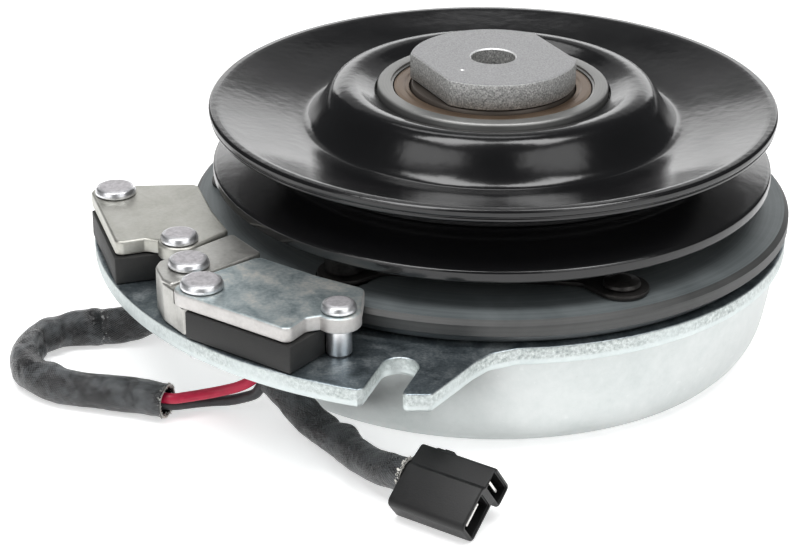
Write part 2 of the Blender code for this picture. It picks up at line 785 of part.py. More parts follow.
def make_plate(parts, finishes):
    holes = [arc((0, 0), CUP_MOUTH_RADIUS + 0.1, 0, 351, 39)]
    for x, y in brake_rivet_places():
        holes.append(arc((x, y), TENON_RADIUS + 0.4, 0, 315, 7))
    bottom = PLATE_TOP - PLATE_THICKNESS
    zinc = finishes["bright_zinc"]
    flat("mounting_plate", [mounting_outline(), *holes], bottom, PLATE_TOP, parts, zinc)


def brake_rivet_places():
    long_left = turned_about(UNIT_LONG_RIVET, UNIT_TURN)
    short_left = turned_about(UNIT_SHORT_RIVET, UNIT_TURN)
    return [UNIT_LONG_RIVET, UNIT_SHORT_RIVET, long_left, short_left, CENTRE_RIVET]


def brake_plate_outline():
    """The right shoe plate: broad over its magnet, with a lobe round the short rivet."""
    corners = [(-58.2, -54.6, 2.5), (-69.3, -64.9, 3), (-77.3, -72.4, 4.5), (-77.0, -76.4, 3.5)]
    corners += [(-47.3, -96.0, 2), (-43.6, -89.4, 1.5)]
    corners += sharp(arc(UNIT_SHORT_RIVET, 5.6, -140, 15, 8))
    corners += [(-30.4, -71.9, 2.5), (-42.6, -65.2, 12)]
    return rounded(corners, 3)


def bracket_outlines():
    """The bracket's foot, which stops short of the armature, and its top, which reaches over it."""
    foot = [(-74.8, -77.6, 0), (-80.6, -70.0, 6), (-83.6, -62.0, 5), (-83.1, -58.8, 1.5)]
    foot += [(-72.6, -48.0, 1), (-63.6, -58.4, 0.8), (-65.2, -68.5, 3)]
    foot += sharp(arc(UNIT_LONG_RIVET, 4.6, 10, -120, 8))
    top = [(-66.3, -40.9, 1.2), (-82.9, -58.6, 1.5), (-83.6, -62.0, 5), (-80.9, -69.2, 2)]
    top += [(-78.2, -72.0, 0.8), (-69.5, -64.2, 3), (-57.8, -52.3, 1.2)]
    return rounded(foot, 3), rounded(top, 3)


def magnet_outline():
    """A block along the shoe plate's outer edge, cut back from the posts of both rivets."""
    along = Vector(polar(1, MAGNET_LONG_ANGLE))
    inward = Vector((-along.y, along.x))
    corner = Vector(MAGNET_OUTER_CORNER)
    far = corner + along * MAGNET_LENGTH
    cut = MAGNET_CORNER_CUT
    block = [tuple(corner), tuple(far), tuple(far + inward * (MAGNET_DEPTH - cut))]
    block.append(tuple(far - along * cut + inward * MAGNET_DEPTH))
    block.append(tuple(corner + along * 6.0 + inward * MAGNET_DEPTH))
    return block + arc(UNIT_LONG_RIVET, 5.2, 20, -128, 7)


def make_brake(parts, cutters, finishes):
    """Two shoe plates over ferrite magnets, the bracket between them, and five shouldered rivets."""
    foot_bottom = PLATE_TOP + GAP
    plate_under = BRAKE_PLATE_BOTTOM
    outline = brake_plate_outline()
    holes = [arc(p, TENON_RADIUS + 0.4, 0, 315, 7) for p in (UNIT_LONG_RIVET, UNIT_SHORT_RIVET)]
    for side, turn in (("right", 0.0), ("left", UNIT_TURN)):
        shoe = flat(
            f"brake_plate_{side}",
            [outline, *holes],
            plate_under,
            BRAKE_PLATE_TOP,
            parts,
            finishes["brake_zinc"],
        )
        shoe.rotation_euler.z = math.radians(turn)
        magnet = flat(
            f"brake_magnet_{side}",
            [magnet_outline()],
            foot_bottom,
            plate_under - GAP,
            parts,
            finishes["magnet_ferrite"],
        )
        magnet.rotation_euler.z = math.radians(turn)
    foot, top = bracket_outlines()
    lower = as_mesh(flat("brake_bracket", [foot], foot_bottom, plate_under - GAP, parts))
    lower.data.materials.append(finishes["brake_zinc"])
    upper = as_mesh(flat("bracket_top", [top], plate_under - 1.0, BRAKE_PLATE_TOP, cutters))
    upper_cut = flat("bracket_under_cutter", [banana(60, 27.6, -170, -110, 16)], 36, 39.4, cutters)
    boolean(upper, as_mesh(upper_cut))
    boolean(lower, upper, "UNION")
    for i, (x, y) in enumerate((UNIT_LONG_RIVET, CENTRE_RIVET), 1):
        cutter = cylinder_cutter(f"bracket_hole_cutter_{i}", x, y, POST_RADIUS + 0.3, 30, 50, cutters)
        boolean(lower, cutter)
    names = ("right_long", "right_short", "left_long", "left_short", "centre")
    for name, head, (x, y) in zip(names, RIVET_HEAD_RADII, brake_rivet_places()):
        seat = BRAKE_PLATE_TOP + GAP
        waist = TENON_RADIUS
        profile = [
            (0, RIVET_HEAD_TOP),
            (head - 1.0, RIVET_HEAD_TOP - 0.2),
            (head, RIVET_HEAD_TOP - 1.1),
            (head - 0.1, seat),
            (waist, seat),
            (waist, plate_under - GAP),
            (POST_RADIUS, plate_under - GAP),
            (POST_RADIUS, foot_bottom),
            (waist, foot_bottom),
            (waist, PLATE_TOP - PLATE_THICKNESS - GAP),
            (4.4, PLATE_TOP - PLATE_THICKNESS - GAP),
            (3.8, PLATE_TOP - PLATE_THICKNESS - 2.0),
            (0, PLATE_TOP - PLATE_THICKNESS - 2.0),
        ]
        turned_at(f"brake_rivet_{name}", profile, x, y, parts, finishes["rivet_steel"])


def make_lead(parts, finishes):
    """The coil lead: a sleeve that folds back on itself, the two wires, and the sleeve to the plug."""
    for name, route, radius, step, finish in (
        ("lead_sleeve_first", FIRST_SLEEVE_ROUTE, FIRST_SLEEVE_RADIUS, SLEEVE_STEP, "woven_sleeve"),
        ("lead_sleeve_second", SECOND_SLEEVE_ROUTE, SECOND_SLEEVE_RADIUS, SLEEVE_STEP, "woven_sleeve"),
        ("lead_wire_red", RED_WIRE_ROUTE, WIRE_RADIUS, WIRE_STEP, "red_insulation"),
        ("lead_wire_black", BLACK_WIRE_ROUTE, WIRE_RADIUS, WIRE_STEP, "black_insulation"),
    ):
        tube(name, route, radius, parts, finishes[finish], step, 2)


def connector_section():
    """(outline, tall cavity, wide cavity), with U across the connector and V up its row."""
    w = CONNECTOR_WALL
    left, right, ledge, far = -4.1, 3.8, 2.4, 7.6
    low, high = -8.9, 8.9
    corners = [(left, low, 1.6), (right, low, 1.6), (right, ledge, 0.3), (far, ledge, 1.5)]
    corners += [(far, high, 1.5), (left + 1.6, high, 0.8), (left, 2.7, 0.4)]
    tall = (left + w, right - w, low + w, 1.0)
    wide = (left + 1.9, far - w, ledge + w, high - w)
    return rounded(corners, 3), tall, wide


def connector_frame():
    """The connector's own axes: Z along it to its mating face, X across it, Y up its cavities."""
    turn = Matrix.Rotation(math.radians(CONNECTOR_TURN), 3, "Z")
    along = turn @ Vector((1, 0, 0))
    side = turn @ Vector((0, 1, 0))
    roll = math.radians(CONNECTOR_ROLL)
    up = math.cos(roll) * side + math.sin(roll) * Vector((0, 0, 1))
    across = up.cross(along)
    axes = Matrix((across, up, along)).transposed()
    return Matrix.Translation(Vector(CONNECTOR_ORIGIN) * MM) @ axes.to_4x4()


def make_connector(parts, cutters, finishes):
    """The two-way plug housing with one blade upright and one blade lying."""
    outline, tall, wide = connector_section()
    frame = connector_frame()
    length = CONNECTOR_LENGTH
    housing = as_mesh(flat("connector_housing", [outline], 0, length, parts))
    housing.data.materials.append(finishes["connector_plastic"])
    housing.matrix_world = frame
    for name, (u0, u1, v0, v1) in (("tall", tall), ("wide", wide)):
        size = (u1 - u0, v1 - v0, CAVITY_DEPTH + 2)
        centre = ((u0 + u1) / 2, (v0 + v1) / 2, length - CAVITY_DEPTH / 2 + 1)
        cavity = box_cutter(f"cavity_cutter_{name}", centre, size, 0, cutters)
        place_in(frame, cavity)
        boolean(housing, cavity)
    latch = box_cutter("latch_bump", (0.4, 9.2, 7.0), (2.2, 1.6, 2.6), 0, cutters)
    place_in(frame, latch)
    boolean(housing, latch, "UNION")
    blade_end = length - BLADE_RECESS
    blade_start = length - CAVITY_DEPTH + GAP
    for name, (u0, u1, v0, v1), across in (
        ("terminal_upright", tall, (BLADE_THICKNESS, BLADE_WIDTH)),
        ("terminal_lying", wide, (BLADE_WIDTH, BLADE_THICKNESS)),
    ):
        centre = ((u0 + u1) / 2, (v0 + v1) / 2, (blade_start + blade_end) / 2)
        blade = box_cutter(name, centre, (*across, blade_end - blade_start), 0, parts)
        blade.data.materials.append(finishes["tinned_brass"])
        place_in(frame, blade)


def place_in(frame, thing):
    """Moves an object that was placed in the connector's own axes to where they are."""
    thing.matrix_world = frame @ Matrix.Translation(thing.location)


def main():
    clear_scene()
    parts = new_collection("electromagnetic_clutch")
    cutters = new_collection("cutters")
    finishes = make_materials()
    make_pulley(parts, finishes)
    bearing("pulley_bearing", PULLEY_BEARING, pulley_rows(), parts, finishes)
    bearing("field_bearing", FIELD_BEARING, field_rows(), parts, finishes)
    for name, height in zip(("pulley_ball_row_lower", "pulley_ball_row_upper"), pulley_rows()):
        ball_set(name, height, parts, cutters, finishes)
    ball_set("field_ball_row", field_rows()[0], parts, cutters, finishes)
    make_hub(parts, cutters, finishes)
    make_rotor(parts, cutters, finishes)
    make_armature(parts, finishes)
    make_springs(parts, cutters, finishes)
    make_field(parts, cutters, finishes)
    make_plate(parts, finishes)
    make_brake(parts, cutters, finishes)
    make_lead(parts, finishes)
    make_connector(parts, cutters, finishes)


def pulley_rows():
    bottom, top = PULLEY_BEARING
    return bottom + 6.0, top - 6.0


def field_rows():
    return (sum(FIELD_BEARING) / 2,)


main()
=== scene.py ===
"""The electromagnetic clutch with its finished surfaces, on a white studio floor.

Lengths are in millimetres in the tables below and MM turns them into metres. The shaft axis is
world Z, and each piece lies where its CAD solid does; all but the spring straps move with that solid's
body.
"""

import json
import random
from math import acos, atan2, cos, degrees, exp, pi, radians, sin, tan

import bmesh
import bpy
from mathutils import Matrix, Vector, geometry, noise

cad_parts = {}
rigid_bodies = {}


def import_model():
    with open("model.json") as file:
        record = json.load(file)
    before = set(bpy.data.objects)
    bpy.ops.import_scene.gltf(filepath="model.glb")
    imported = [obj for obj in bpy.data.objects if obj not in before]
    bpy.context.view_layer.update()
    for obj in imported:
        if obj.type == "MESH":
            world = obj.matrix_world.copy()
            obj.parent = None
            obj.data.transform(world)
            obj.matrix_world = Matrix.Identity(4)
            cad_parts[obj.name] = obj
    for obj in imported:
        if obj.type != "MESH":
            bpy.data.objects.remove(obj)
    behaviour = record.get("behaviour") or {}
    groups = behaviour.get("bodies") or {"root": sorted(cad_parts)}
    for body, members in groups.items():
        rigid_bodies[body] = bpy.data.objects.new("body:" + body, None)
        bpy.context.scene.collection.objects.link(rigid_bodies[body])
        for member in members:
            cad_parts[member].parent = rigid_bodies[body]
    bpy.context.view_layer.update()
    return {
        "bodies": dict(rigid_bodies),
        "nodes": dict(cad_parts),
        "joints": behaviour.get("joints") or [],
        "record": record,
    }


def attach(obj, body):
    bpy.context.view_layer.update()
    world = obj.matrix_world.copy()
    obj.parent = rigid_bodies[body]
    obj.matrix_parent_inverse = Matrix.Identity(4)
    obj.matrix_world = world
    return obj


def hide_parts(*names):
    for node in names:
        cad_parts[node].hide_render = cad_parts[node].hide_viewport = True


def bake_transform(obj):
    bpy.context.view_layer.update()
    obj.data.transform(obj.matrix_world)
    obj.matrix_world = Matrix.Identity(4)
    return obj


MM = 0.001
LATHE_STEPS = 192
PIN_STEPS = 56
# Degrees: edges over the first stay sharp, and corners whose half angle is over the second stay
SHARP_ANGLE = 35
STRAIGHT = 89
# How far inside a plate's edge its flat faces begin, and the rows of a sleeve drawn to its seat
CAP_INSET = 0.12
SEAT_ROWS = 10
PULLEY_SLOPE = tan(radians(17))

# Camera: its place is in metres
CAMERA_PLACE = (-0.0013, -0.5857, 0.2894)
CAMERA_AIM = (-0.054, 0.7355, -0.3329)
CAMERA_ROLL = 0.225
CAMERA_LENS = 104.51

# Area lamps: name, place, the height they aim at on the axis, size, all in metres, and watts
SOFTBOXES = (
    ("overhead_left", (-0.40, -0.30, 1.4), 0, (0.60, 0.80), 11.5),
    ("overhead_right", (0.48, -0.22, 1.4), 0, (0.50, 0.75), 9.5),
    ("overhead_back", (-0.15, 0.85, 1.4), 0, (0.7, 0.32), 1.8),
    ("backdrop", (0.0, 2.6, 0.68), 0.05, (3.2, 0.90), 19),
    ("backdrop_high", (0.0, 2.4, 1.5), 0.05, (3.0, 0.75), 2.2),
    ("front_left", (-1.1, -1.2, 0.9), 0.02, (1.2, 1.0), 8),
    ("front_right", (1.1, -1.1, 0.9), 0.02, (1.2, 1.0), 7)
)

# Coil lead, the routes of its solids
FIRST_SLEEVE_DIAMETER = 9.0
SECOND_SLEEVE_DIAMETER = 8.4
WIRE_DIAMETER = 2.8
FIRST_SLEEVE_ROUTE = (
    (-80.9, -13.4, 12.0), (-84.3, -14.1, 11.4), (-88.6, -15.8, 9.3), (-93.6, -18.0, 6.9),
    (-99.5, -19.2, 5.3), (-106.5, -19.8, 4.8), (-113.3, -21.4, 4.8), (-119.2, -25.4, 4.8),
    (-122.4, -32.4, 4.8), (-122.4, -40.8, 4.8), (-119.2, -48.2, 4.8), (-113.2, -53.0, 4.8),
    (-105.8, -55.7, 4.8), (-97.6, -57.4, 4.8), (-89.4, -59.2, 4.8), (-82.0, -61.6, 4.8)
)
RED_WIRE_ROUTE = (
    (-84.4, -61.3, 5.8), (-80.4, -61.9, 5.8), (-77.5, -61.0, 5.8), (-73.8, -60.1, 6.1),
    (-70.4, -59.8, 6.7), (-67.0, -59.9, 7.6), (-63.8, -60.3, 8.8), (-60.6, -60.7, 10.7),
    (-58.2, -60.3, 12.9), (-56.6, -60.0, 14.4), (-54.6, -60.8, 14.4), (-52.8, -62.4, 13.2)
)
BLACK_WIRE_ROUTE = (
    (-84.6, -60.6, 3.6), (-80.6, -60.3, 3.1), (-78.1, -58.6, 2.5), (-74.3, -57.2, 2.4),
    (-70.3, -56.9, 2.7), (-66.3, -57.8, 3.5), (-62.8, -59.1, 5.0), (-59.5, -60.6, 7.0),
    (-58.1, -61.1, 9.0), (-57.5, -61.2, 10.0), (-55.6, -61.9, 11.2), (-53.2, -63.6, 11.0)
)
SECOND_SLEEVE_ROUTE = (
    (-54.4, -62.2, 12.4), (-51.9, -64.3, 10.9), (-49.6, -66.1, 9.3), (-46.8, -68.3, 7.0),
    (-43.6, -70.9, 4.9), (-39.6, -75.2, 4.2), (-34.9, -81.6, 4.4), (-30.3, -88.9, 5.0),
    (-25.5, -95.6, 6.3), (-19.3, -101.6, 8.2)
)

# Where the springs, rivets, shoes and slot sit
SPRING_STARTS = (-61.7, 58.3, 178.3)
SPRING_SPAN = 61.4
SPRING_ARMATURE_RADIUS = 69.7
SPRING_PULLEY_RADIUS = 66.7
UNIT_TURN = -36.9
LONG_RIVET = (-70.4, -73.4)
SHORT_RIVET = (-36.0, -84.4)
CENTRE_RIVET = (-75.2, -61.0)
RIVET_HEADS = {
    "right_long": 5.5, "right_short": 4.4, "left_long": 5.5, "left_short": 4.9, "centre": 5.3
}
SLOT_ANGLE = -105.8
SLOT_HALF = 4.6
SLOT_END = (-21.0, -91.1)

RIVET_HOLE = 2.9
PLATE_RADIUS = 80.5
LOBE_RADIUS = 108.0

# Heights from and to
PLATE = (26.8, 31.8)
MAGNETS = (32.1, 39.1)
SHOES = (39.4, 43.3)
STRAPS = (39.4, 40.6)
ARMATURE = (34.8, 39.1)

# Connector, in its own axes: U across it, V up its row of cavities, W along it
CONNECTOR_ORIGIN = (-18.45, -102.9, 7.85)
CONNECTOR_TURN = -32.2
CONNECTOR_ROLL = 37.3
CONNECTOR_LENGTH = 21.6

# Where the lead leaves the cup
LEAD_ANGLE = -170.6
LEAD_HEIGHT = 12.0

# Name, dark and light tints, metallic, roughness from and to, rings per metre, depth, tints of tops
TURNED_LOOKS = (
    ("dark_steel", (0.070, 0.078, 0.082), (0.125, 0.135, 0.14), 0.55, (0.46, 0.34), 1500, 0.25),
    # the armature: its tops painted lighter than its sides, for the light that falls on the tops
    (
        "armature_steel", (0.038, 0.039, 0.039), (0.080, 0.081, 0.080), 0.3, (0.54, 0.44), 1500, 0.25,
        ((0.105, 0.122, 0.127), (0.19, 0.212, 0.217))
    ),
    ("bearing_steel", (0.25, 0.25, 0.245), (0.34, 0.34, 0.33), 0.9, (0.52, 0.44), 2600, 0.08),
    ("race_steel", (0.060, 0.050, 0.042), (0.13, 0.11, 0.095), 0.6, (0.5, 0.4), 1200, 0.1),
    ("shield_bronze", (0.09, 0.055, 0.035), (0.20, 0.145, 0.10), 0.7, (0.5, 0.36), 900, 0.15)
)
# Name, dark, light and pale tints, roughness, blotches per metre, tints of cut edges, and the height
# in metres above which those are torn
ZINC_LOOKS = (
    ("bright_zinc", (0.46, 0.49, 0.485), (0.52, 0.545, 0.54), (0.57, 0.59, 0.585), (0.44, 0.34), 40),
    (
        "plate_zinc", (0.14, 0.175, 0.195), (0.27, 0.32, 0.35), (0.54, 0.59, 0.61), (0.42, 0.30), 150,
        ((0.53, 0.58, 0.58), (0.63, 0.675, 0.67)), 0.0284
    ),
    (
        "brake_zinc", (0.31, 0.385, 0.41), (0.52, 0.585, 0.595), (0.74, 0.735, 0.695), (0.50, 0.40),
        120, ((0.54, 0.525, 0.51), (0.68, 0.665, 0.65))
    ),
    (
        "brake_zinc_warm", (0.41, 0.405, 0.365), (0.49, 0.485, 0.445), (0.56, 0.555, 0.52),
        (0.50, 0.42), 110
    ),
    ("bracket_zinc", (0.36, 0.355, 0.335), (0.47, 0.465, 0.44), (0.56, 0.555, 0.53), (0.46, 0.36), 120)
)
# Name, dark and light tints, metallic, roughness, grains per metre, depth, specular level
PLAIN_LOOKS = (
    ("spring_steel", (0.016, 0.015, 0.015), (0.05, 0.046, 0.043), 0.6, (0.5, 0.36), 1400, 0.2),
    (
        "magnet_ferrite", (0.016, 0.016, 0.016), (0.027, 0.027, 0.026), 0.0, (0.66, 0.54), 2600, 0.15,
        0.35
    ),
    ("friction_lining", (0.05, 0.04, 0.03), (0.14, 0.11, 0.085), 0.0, (0.95, 0.8), 1800, 0.5),
    ("copper", (0.40, 0.13, 0.05), (0.72, 0.30, 0.13), 0.95, (0.4, 0.28), 1600, 0.3),
    ("bobbin_plastic", (0.62, 0.58, 0.47), (0.76, 0.73, 0.63), 0.0, (0.55, 0.45), 700, 0.1),
    ("epoxy", (0.03, 0.03, 0.03), (0.06, 0.06, 0.06), 0.0, (0.4, 0.25), 500, 0.2),
    ("rubber", (0.012, 0.012, 0.012), (0.03, 0.03, 0.03), 0.0, (0.75, 0.6), 1500, 0.2),
    ("thread", (0.10, 0.10, 0.09), (0.95, 0.93, 0.87), 0.0, (0.9, 0.8), 1300, 0.3),
    ("red_insulation", (0.42, 0.004, 0.035), (0.56, 0.010, 0.060), 0.0, (0.46, 0.36), 600, 0.1),
    ("black_insulation", (0.022, 0.022, 0.024), (0.045, 0.045, 0.048), 0.0, (0.5, 0.4), 600, 0.1),
    (
        "connector_plastic", (0.004, 0.004, 0.004), (0.010, 0.010, 0.0105), 0.0, (0.50, 0.38), 2200,
        0.25, 0.36
    ),
    ("tinned_brass", (0.66, 0.65, 0.62), (0.84, 0.83, 0.80), 1.0, (0.34, 0.22), 1200, 0.1)
)

# Every material by the name of its look
LOOKS = {}


# ---- outlines


def polar(radius, turn):
    angle = radians(turn)
    return radius * cos(angle), radius * sin(angle)


def arc(centre, radius, start, end, steps):
    """Points on an arc from start to end degrees, both ends included."""
    turns = [start + (end - start) * i / steps for i in range(steps + 1)]
    return [(centre[0] + polar(radius, t)[0], centre[1] + polar(radius, t)[1]) for t in turns]


def circle(centre, radius, steps):
    return arc(centre, radius, 0, 360 - 360 / steps, steps - 1)


def rounded(corners, steps=6):
    """An outline through (x, y, radius) corners, each replaced by an arc; a missing radius is 0."""
    points = []
    for i, corner in enumerate(corners):
        here = Vector(corner[:2])
        before = Vector(corners[i - 1][:2]) - here
        after = Vector(corners[(i + 1) % len(corners)][:2]) - here
        radius = corner[2] if len(corner) > 2 else 0
        half = before.angle(after) / 2 if radius else 0
        if not radius or half > radians(STRAIGHT):
            points.append(tuple(corner[:2]))
            continue
        reach = min(radius / tan(half), 0.49 * before.length, 0.49 * after.length)
        radius = reach * tan(half)
        bisector = (before.normalized() + after.normalized()).normalized()
        centre = here + bisector * (radius / sin(half))
        first = here + before.normalized() * reach - centre
        end = here + after.normalized() * reach - centre
        sweep = first.angle_signed(end)
        for step in range(steps + 1):
            turn = Matrix.Rotation(-sweep * step / steps, 2)
            points.append(tuple(centre + turn @ first))
    return points


def turned_about(point, turn):
    return tuple(Matrix.Rotation(radians(turn), 2) @ Vector(point))


def smooth(route, steps):
    """Points along a Catmull-Rom curve through the route, in two or three dimensions."""
    knots = [Vector(p) for p in route]
    knots = [2 * knots[0] - knots[1], *knots, 2 * knots[-1] - knots[-2]]
    points = []
    for a, b, c, d in zip(knots, knots[1:], knots[2:], knots[3:]):
        for i in range(steps):
            t = i / steps
            near = 2 * b + (c - a) * t
            far = (2 * a - 5 * b + 4 * c - d) * t**2 + (3 * b - a - 3 * c + d) * t**3
            points.append(0.5 * (near + far))
    return [*points, knots[-2]]


def even(points, step):
    """The same line with a point every step of its length."""
    lengths = [0.0]
    for a, b in zip(points, points[1:]):
        lengths.append(lengths[-1] + (b - a).length)
    count = max(2, round(lengths[-1] / step))
    made, k = [], 1
    for i in range(count + 1):
        wanted = lengths[-1] * i / count
        while k < len(points) - 1 and lengths[k] < wanted:
            k += 1
        share = (wanted - lengths[k - 1]) / (lengths[k] - lengths[k - 1])
        made.append(points[k - 1].lerp(points[k], share))
    return made


def signed_area(points):
    return sum(a[0] * b[1] - b[0] * a[1] for a, b in zip(points, points[1:] + points[:1])) / 2


def inset(points, distance):
    """The outline moved to its left by distance, at every corner along the two edges' bisector."""
    moved = []
    for i, point in enumerate(points):
        here = Vector(point)
        before = (here - Vector(points[i - 1])).normalized()
        after = (Vector(points[(i + 1) % len(points)]) - here).normalized()
        left = Vector((-before.y - after.y, before.x + after.x))
        left = left.normalized() if left.length > 1e-6 else Vector((-after.y, after.x))
        lean = max(0.5, left.dot(Vector((-after.y, after.x))))
        moved.append(tuple(here + left * (distance / lean)))
    return moved


# ---- meshes


def add_object(name, data):
    made = bpy.data.objects.new(name, data)
    bpy.context.scene.collection.objects.link(made)
    return made


def add_solid(name, shape):
    """An object made of a bmesh in metres, its faces outwards."""
    bmesh.ops.recalc_face_normals(shape, faces=shape.faces)
    mesh = bpy.data.meshes.new(name)
    shape.to_mesh(mesh)
    shape.free()
    return add_object(name, mesh)


def shade(mesh, sharp):
    mesh.shade_smooth()
    mesh.set_sharp_from_angle(angle=radians(sharp))


def loose_piece(name, shape, *looks, sharp=SHARP_ANGLE):
    """A smooth-shaded piece with the named looks, not yet on a body."""
    piece = add_solid(name, shape)
    shade(piece.data, sharp)
    for look in looks:
        piece.data.materials.append(LOOKS[look])
    return piece


def settle(piece, body, node):
    """Makes a piece ride on its body and stand for its CAD node."""
    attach(piece, body)
    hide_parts(node)


def finish_piece(name, shape, look, body, node):
    """A piece of one look on its body."""
    piece = loose_piece(name, shape, look)
    settle(piece, body, node)
    return piece


def bridge(shape, low, high):
    """Faces between two rings of vertices; a ring of one vertex is a tip."""
    count = max(len(low), len(high))
    faces = []
    for k in range(count if count > 1 else 0):
        n = (k + 1) % count
        if len(low) == 1:
            corners = (low[0], high[n], high[k])
        elif len(high) == 1:
            corners = (low[k], low[n], high[0])
        else:
            corners = (low[k], low[n], high[n], high[k])
        faces.append(shape.faces.new(corners))
    return faces


def lathe_shape(profile, steps=LATHE_STEPS, at=(0, 0)):
    """A bmesh turned about Z from a (radius, z) profile: closed, or from axis to axis."""
    shape = bmesh.new()
    rings = []
    for r, z in profile:
        turns = [360 * k / steps for k in range(steps)] if r > 1e-6 else [0]
        flat = [polar(r, turn) for turn in turns]
        ring = [Vector((at[0] + x, at[1] + y, z)) * MM for x, y in flat]
        rings.append([shape.verts.new(point) for point in ring])
    ends = [] if len(rings[0]) == 1 else [rings[0]]
    for low, high in zip(rings, rings[1:] + ends):
        bridge(shape, low, high)
    return shape


def plate_shape(outer, holes, bottom, top, edge, under=None, steps=4):
    """A bmesh of a flat piece, its top edges rounded by edge and its bottom edges by under."""
    under = edge if under is None else under
    outlines = [outer if signed_area(outer) > 0 else outer[::-1]]
    outlines += [h if signed_area(h) < 0 else h[::-1] for h in holes]
    turns = [radians(90 * i / steps) for i in range(steps + 1)]
    rows = [(under + CAP_INSET, bottom)]
    rows += [(under * (1 - sin(t)), bottom + under * (1 - cos(t))) for t in turns]
    rows += [(edge * (1 - cos(t)), top - edge * (1 - sin(t))) for t in turns]
    rows.append((edge + CAP_INSET, top))
    shape = bmesh.new()
    caps = {0: [], len(rows) - 1: []}
    for outline in outlines:
        rings = []
        for i, (distance, z) in enumerate(rows):
            flat = inset(outline, distance)
            rings.append([shape.verts.new(Vector((x, y, z)) * MM) for x, y in flat])
            if i in caps:
                caps[i].append((flat, rings[-1]))
        for low, high in zip(rings, rings[1:]):
            bridge(shape, low, high)
    for loops in caps.values():
        verts = [v for _, ring in loops for v in ring]
        flat = [[Vector((x, y, 0)) for x, y in points] for points, _ in loops]
        for corners in geometry.tessellate_polygon(flat):
            if len(set(corners)) == 3:
                try:
                    shape.faces.new([verts[c] for c in corners])
                except ValueError:
                    pass
    return shape


def cut(piece, cutter_shape, operation="DIFFERENCE"):
    """Cuts a bmesh in metres out of a piece's mesh, or joins it on, and applies the result."""
    cutter = add_solid("cutter", cutter_shape)
    step = piece.modifiers.new("cut", "BOOLEAN")
    step.operation = operation
    step.solver = "EXACT"
    step.object = cutter
    bpy.context.view_layer.update()
    graph = bpy.context.evaluated_depsgraph_get()
    made = bpy.data.meshes.new_from_object(piece.evaluated_get(graph))
    shade(made, SHARP_ANGLE)
    piece.modifiers.clear()
    worn_out = (piece.data, cutter.data)
    piece.data = made
    made.name = piece.name
    bpy.data.objects.remove(cutter, do_unlink=True)
    for mesh in worn_out:
        bpy.data.meshes.remove(mesh)


def axes_along(ahead):
    """The way to the right of a direction and the way up from it."""
    side = ahead.cross(Vector((0, 0, 1))).normalized()
    return side, side.cross(ahead).normalized()


def hose_shape(path, radius, around, form, wall=0.0, seat=None):
    """A bmesh tube along the path. form(s, a) gives its swell at a length and an angle; the angle is
    0 to the right of the route and a quarter turn at its top. wall makes it hollow, else it is capped.
    seat, a point and a direction, is a plane that the far end is drawn out to."""
    shape = bmesh.new()
    uv = shape.loops.layers.uv.new("weave")
    travelled = [0.0]
    for a, b in zip(path, path[1:]):
        travelled.append(travelled[-1] + (b - a).length)
    outside, inside = [], []
    for i, here in enumerate(path):
        ahead = (path[min(i + 1, len(path) - 1)] - path[max(i - 1, 0)]).normalized()
        side, up = axes_along(ahead)
        ring, inner = [], []
        for k in range(around):
            a = 2 * pi * k / around
            way = side * cos(a) + up * sin(a)
            swell = radius * form(travelled[i], a)
            for verts, reach, lowest in ((ring, swell, 0.0), (inner, swell - wall, wall)):
                point = here + way * reach
                point.z = max(point.z, lowest)
                verts.append(point * MM)
        outside.append([shape.verts.new(point) for point in ring])
        inside.append([shape.verts.new(point) for point in inner] if wall else [])
    if seat:
        ahead = (path[-1] - path[-2]).normalized()
        for rings in (outside, inside):
            for k in range(around):
                short = (seat[0] - rings[-1][k].co / MM).dot(seat[1]) / ahead.dot(seat[1])
                for back in range(SEAT_ROWS):
                    rings[-1 - back][k].co += ahead * short * (1 - back / SEAT_ROWS) ** 2 * MM
    for rings, flip in ((outside, False), (inside, True)) if wall else ((outside, False),):
        for i in range(len(rings) - 1):
            for k in range(around):
                n = (k + 1) % around
                face = (rings[i][k], rings[i][n], rings[i + 1][n], rings[i + 1][k])
                for loop in shape.faces.new(face[::-1] if flip else face).loops:
                    j = i if loop.vert in (rings[i][k], rings[i][n]) else i + 1
                    m = k if loop.vert in (rings[i][k], rings[i + 1][k]) else k + 1
                    loop[uv].uv = (travelled[j] / 10, m / around * 2 * pi * radius / 10)
    for end in (0, -1):
        if wall:
            for face in bridge(shape, outside[end], inside[end]):
                face.material_index = 1
        else:
            shape.faces.new(outside[end])
    return shape


# ---- materials


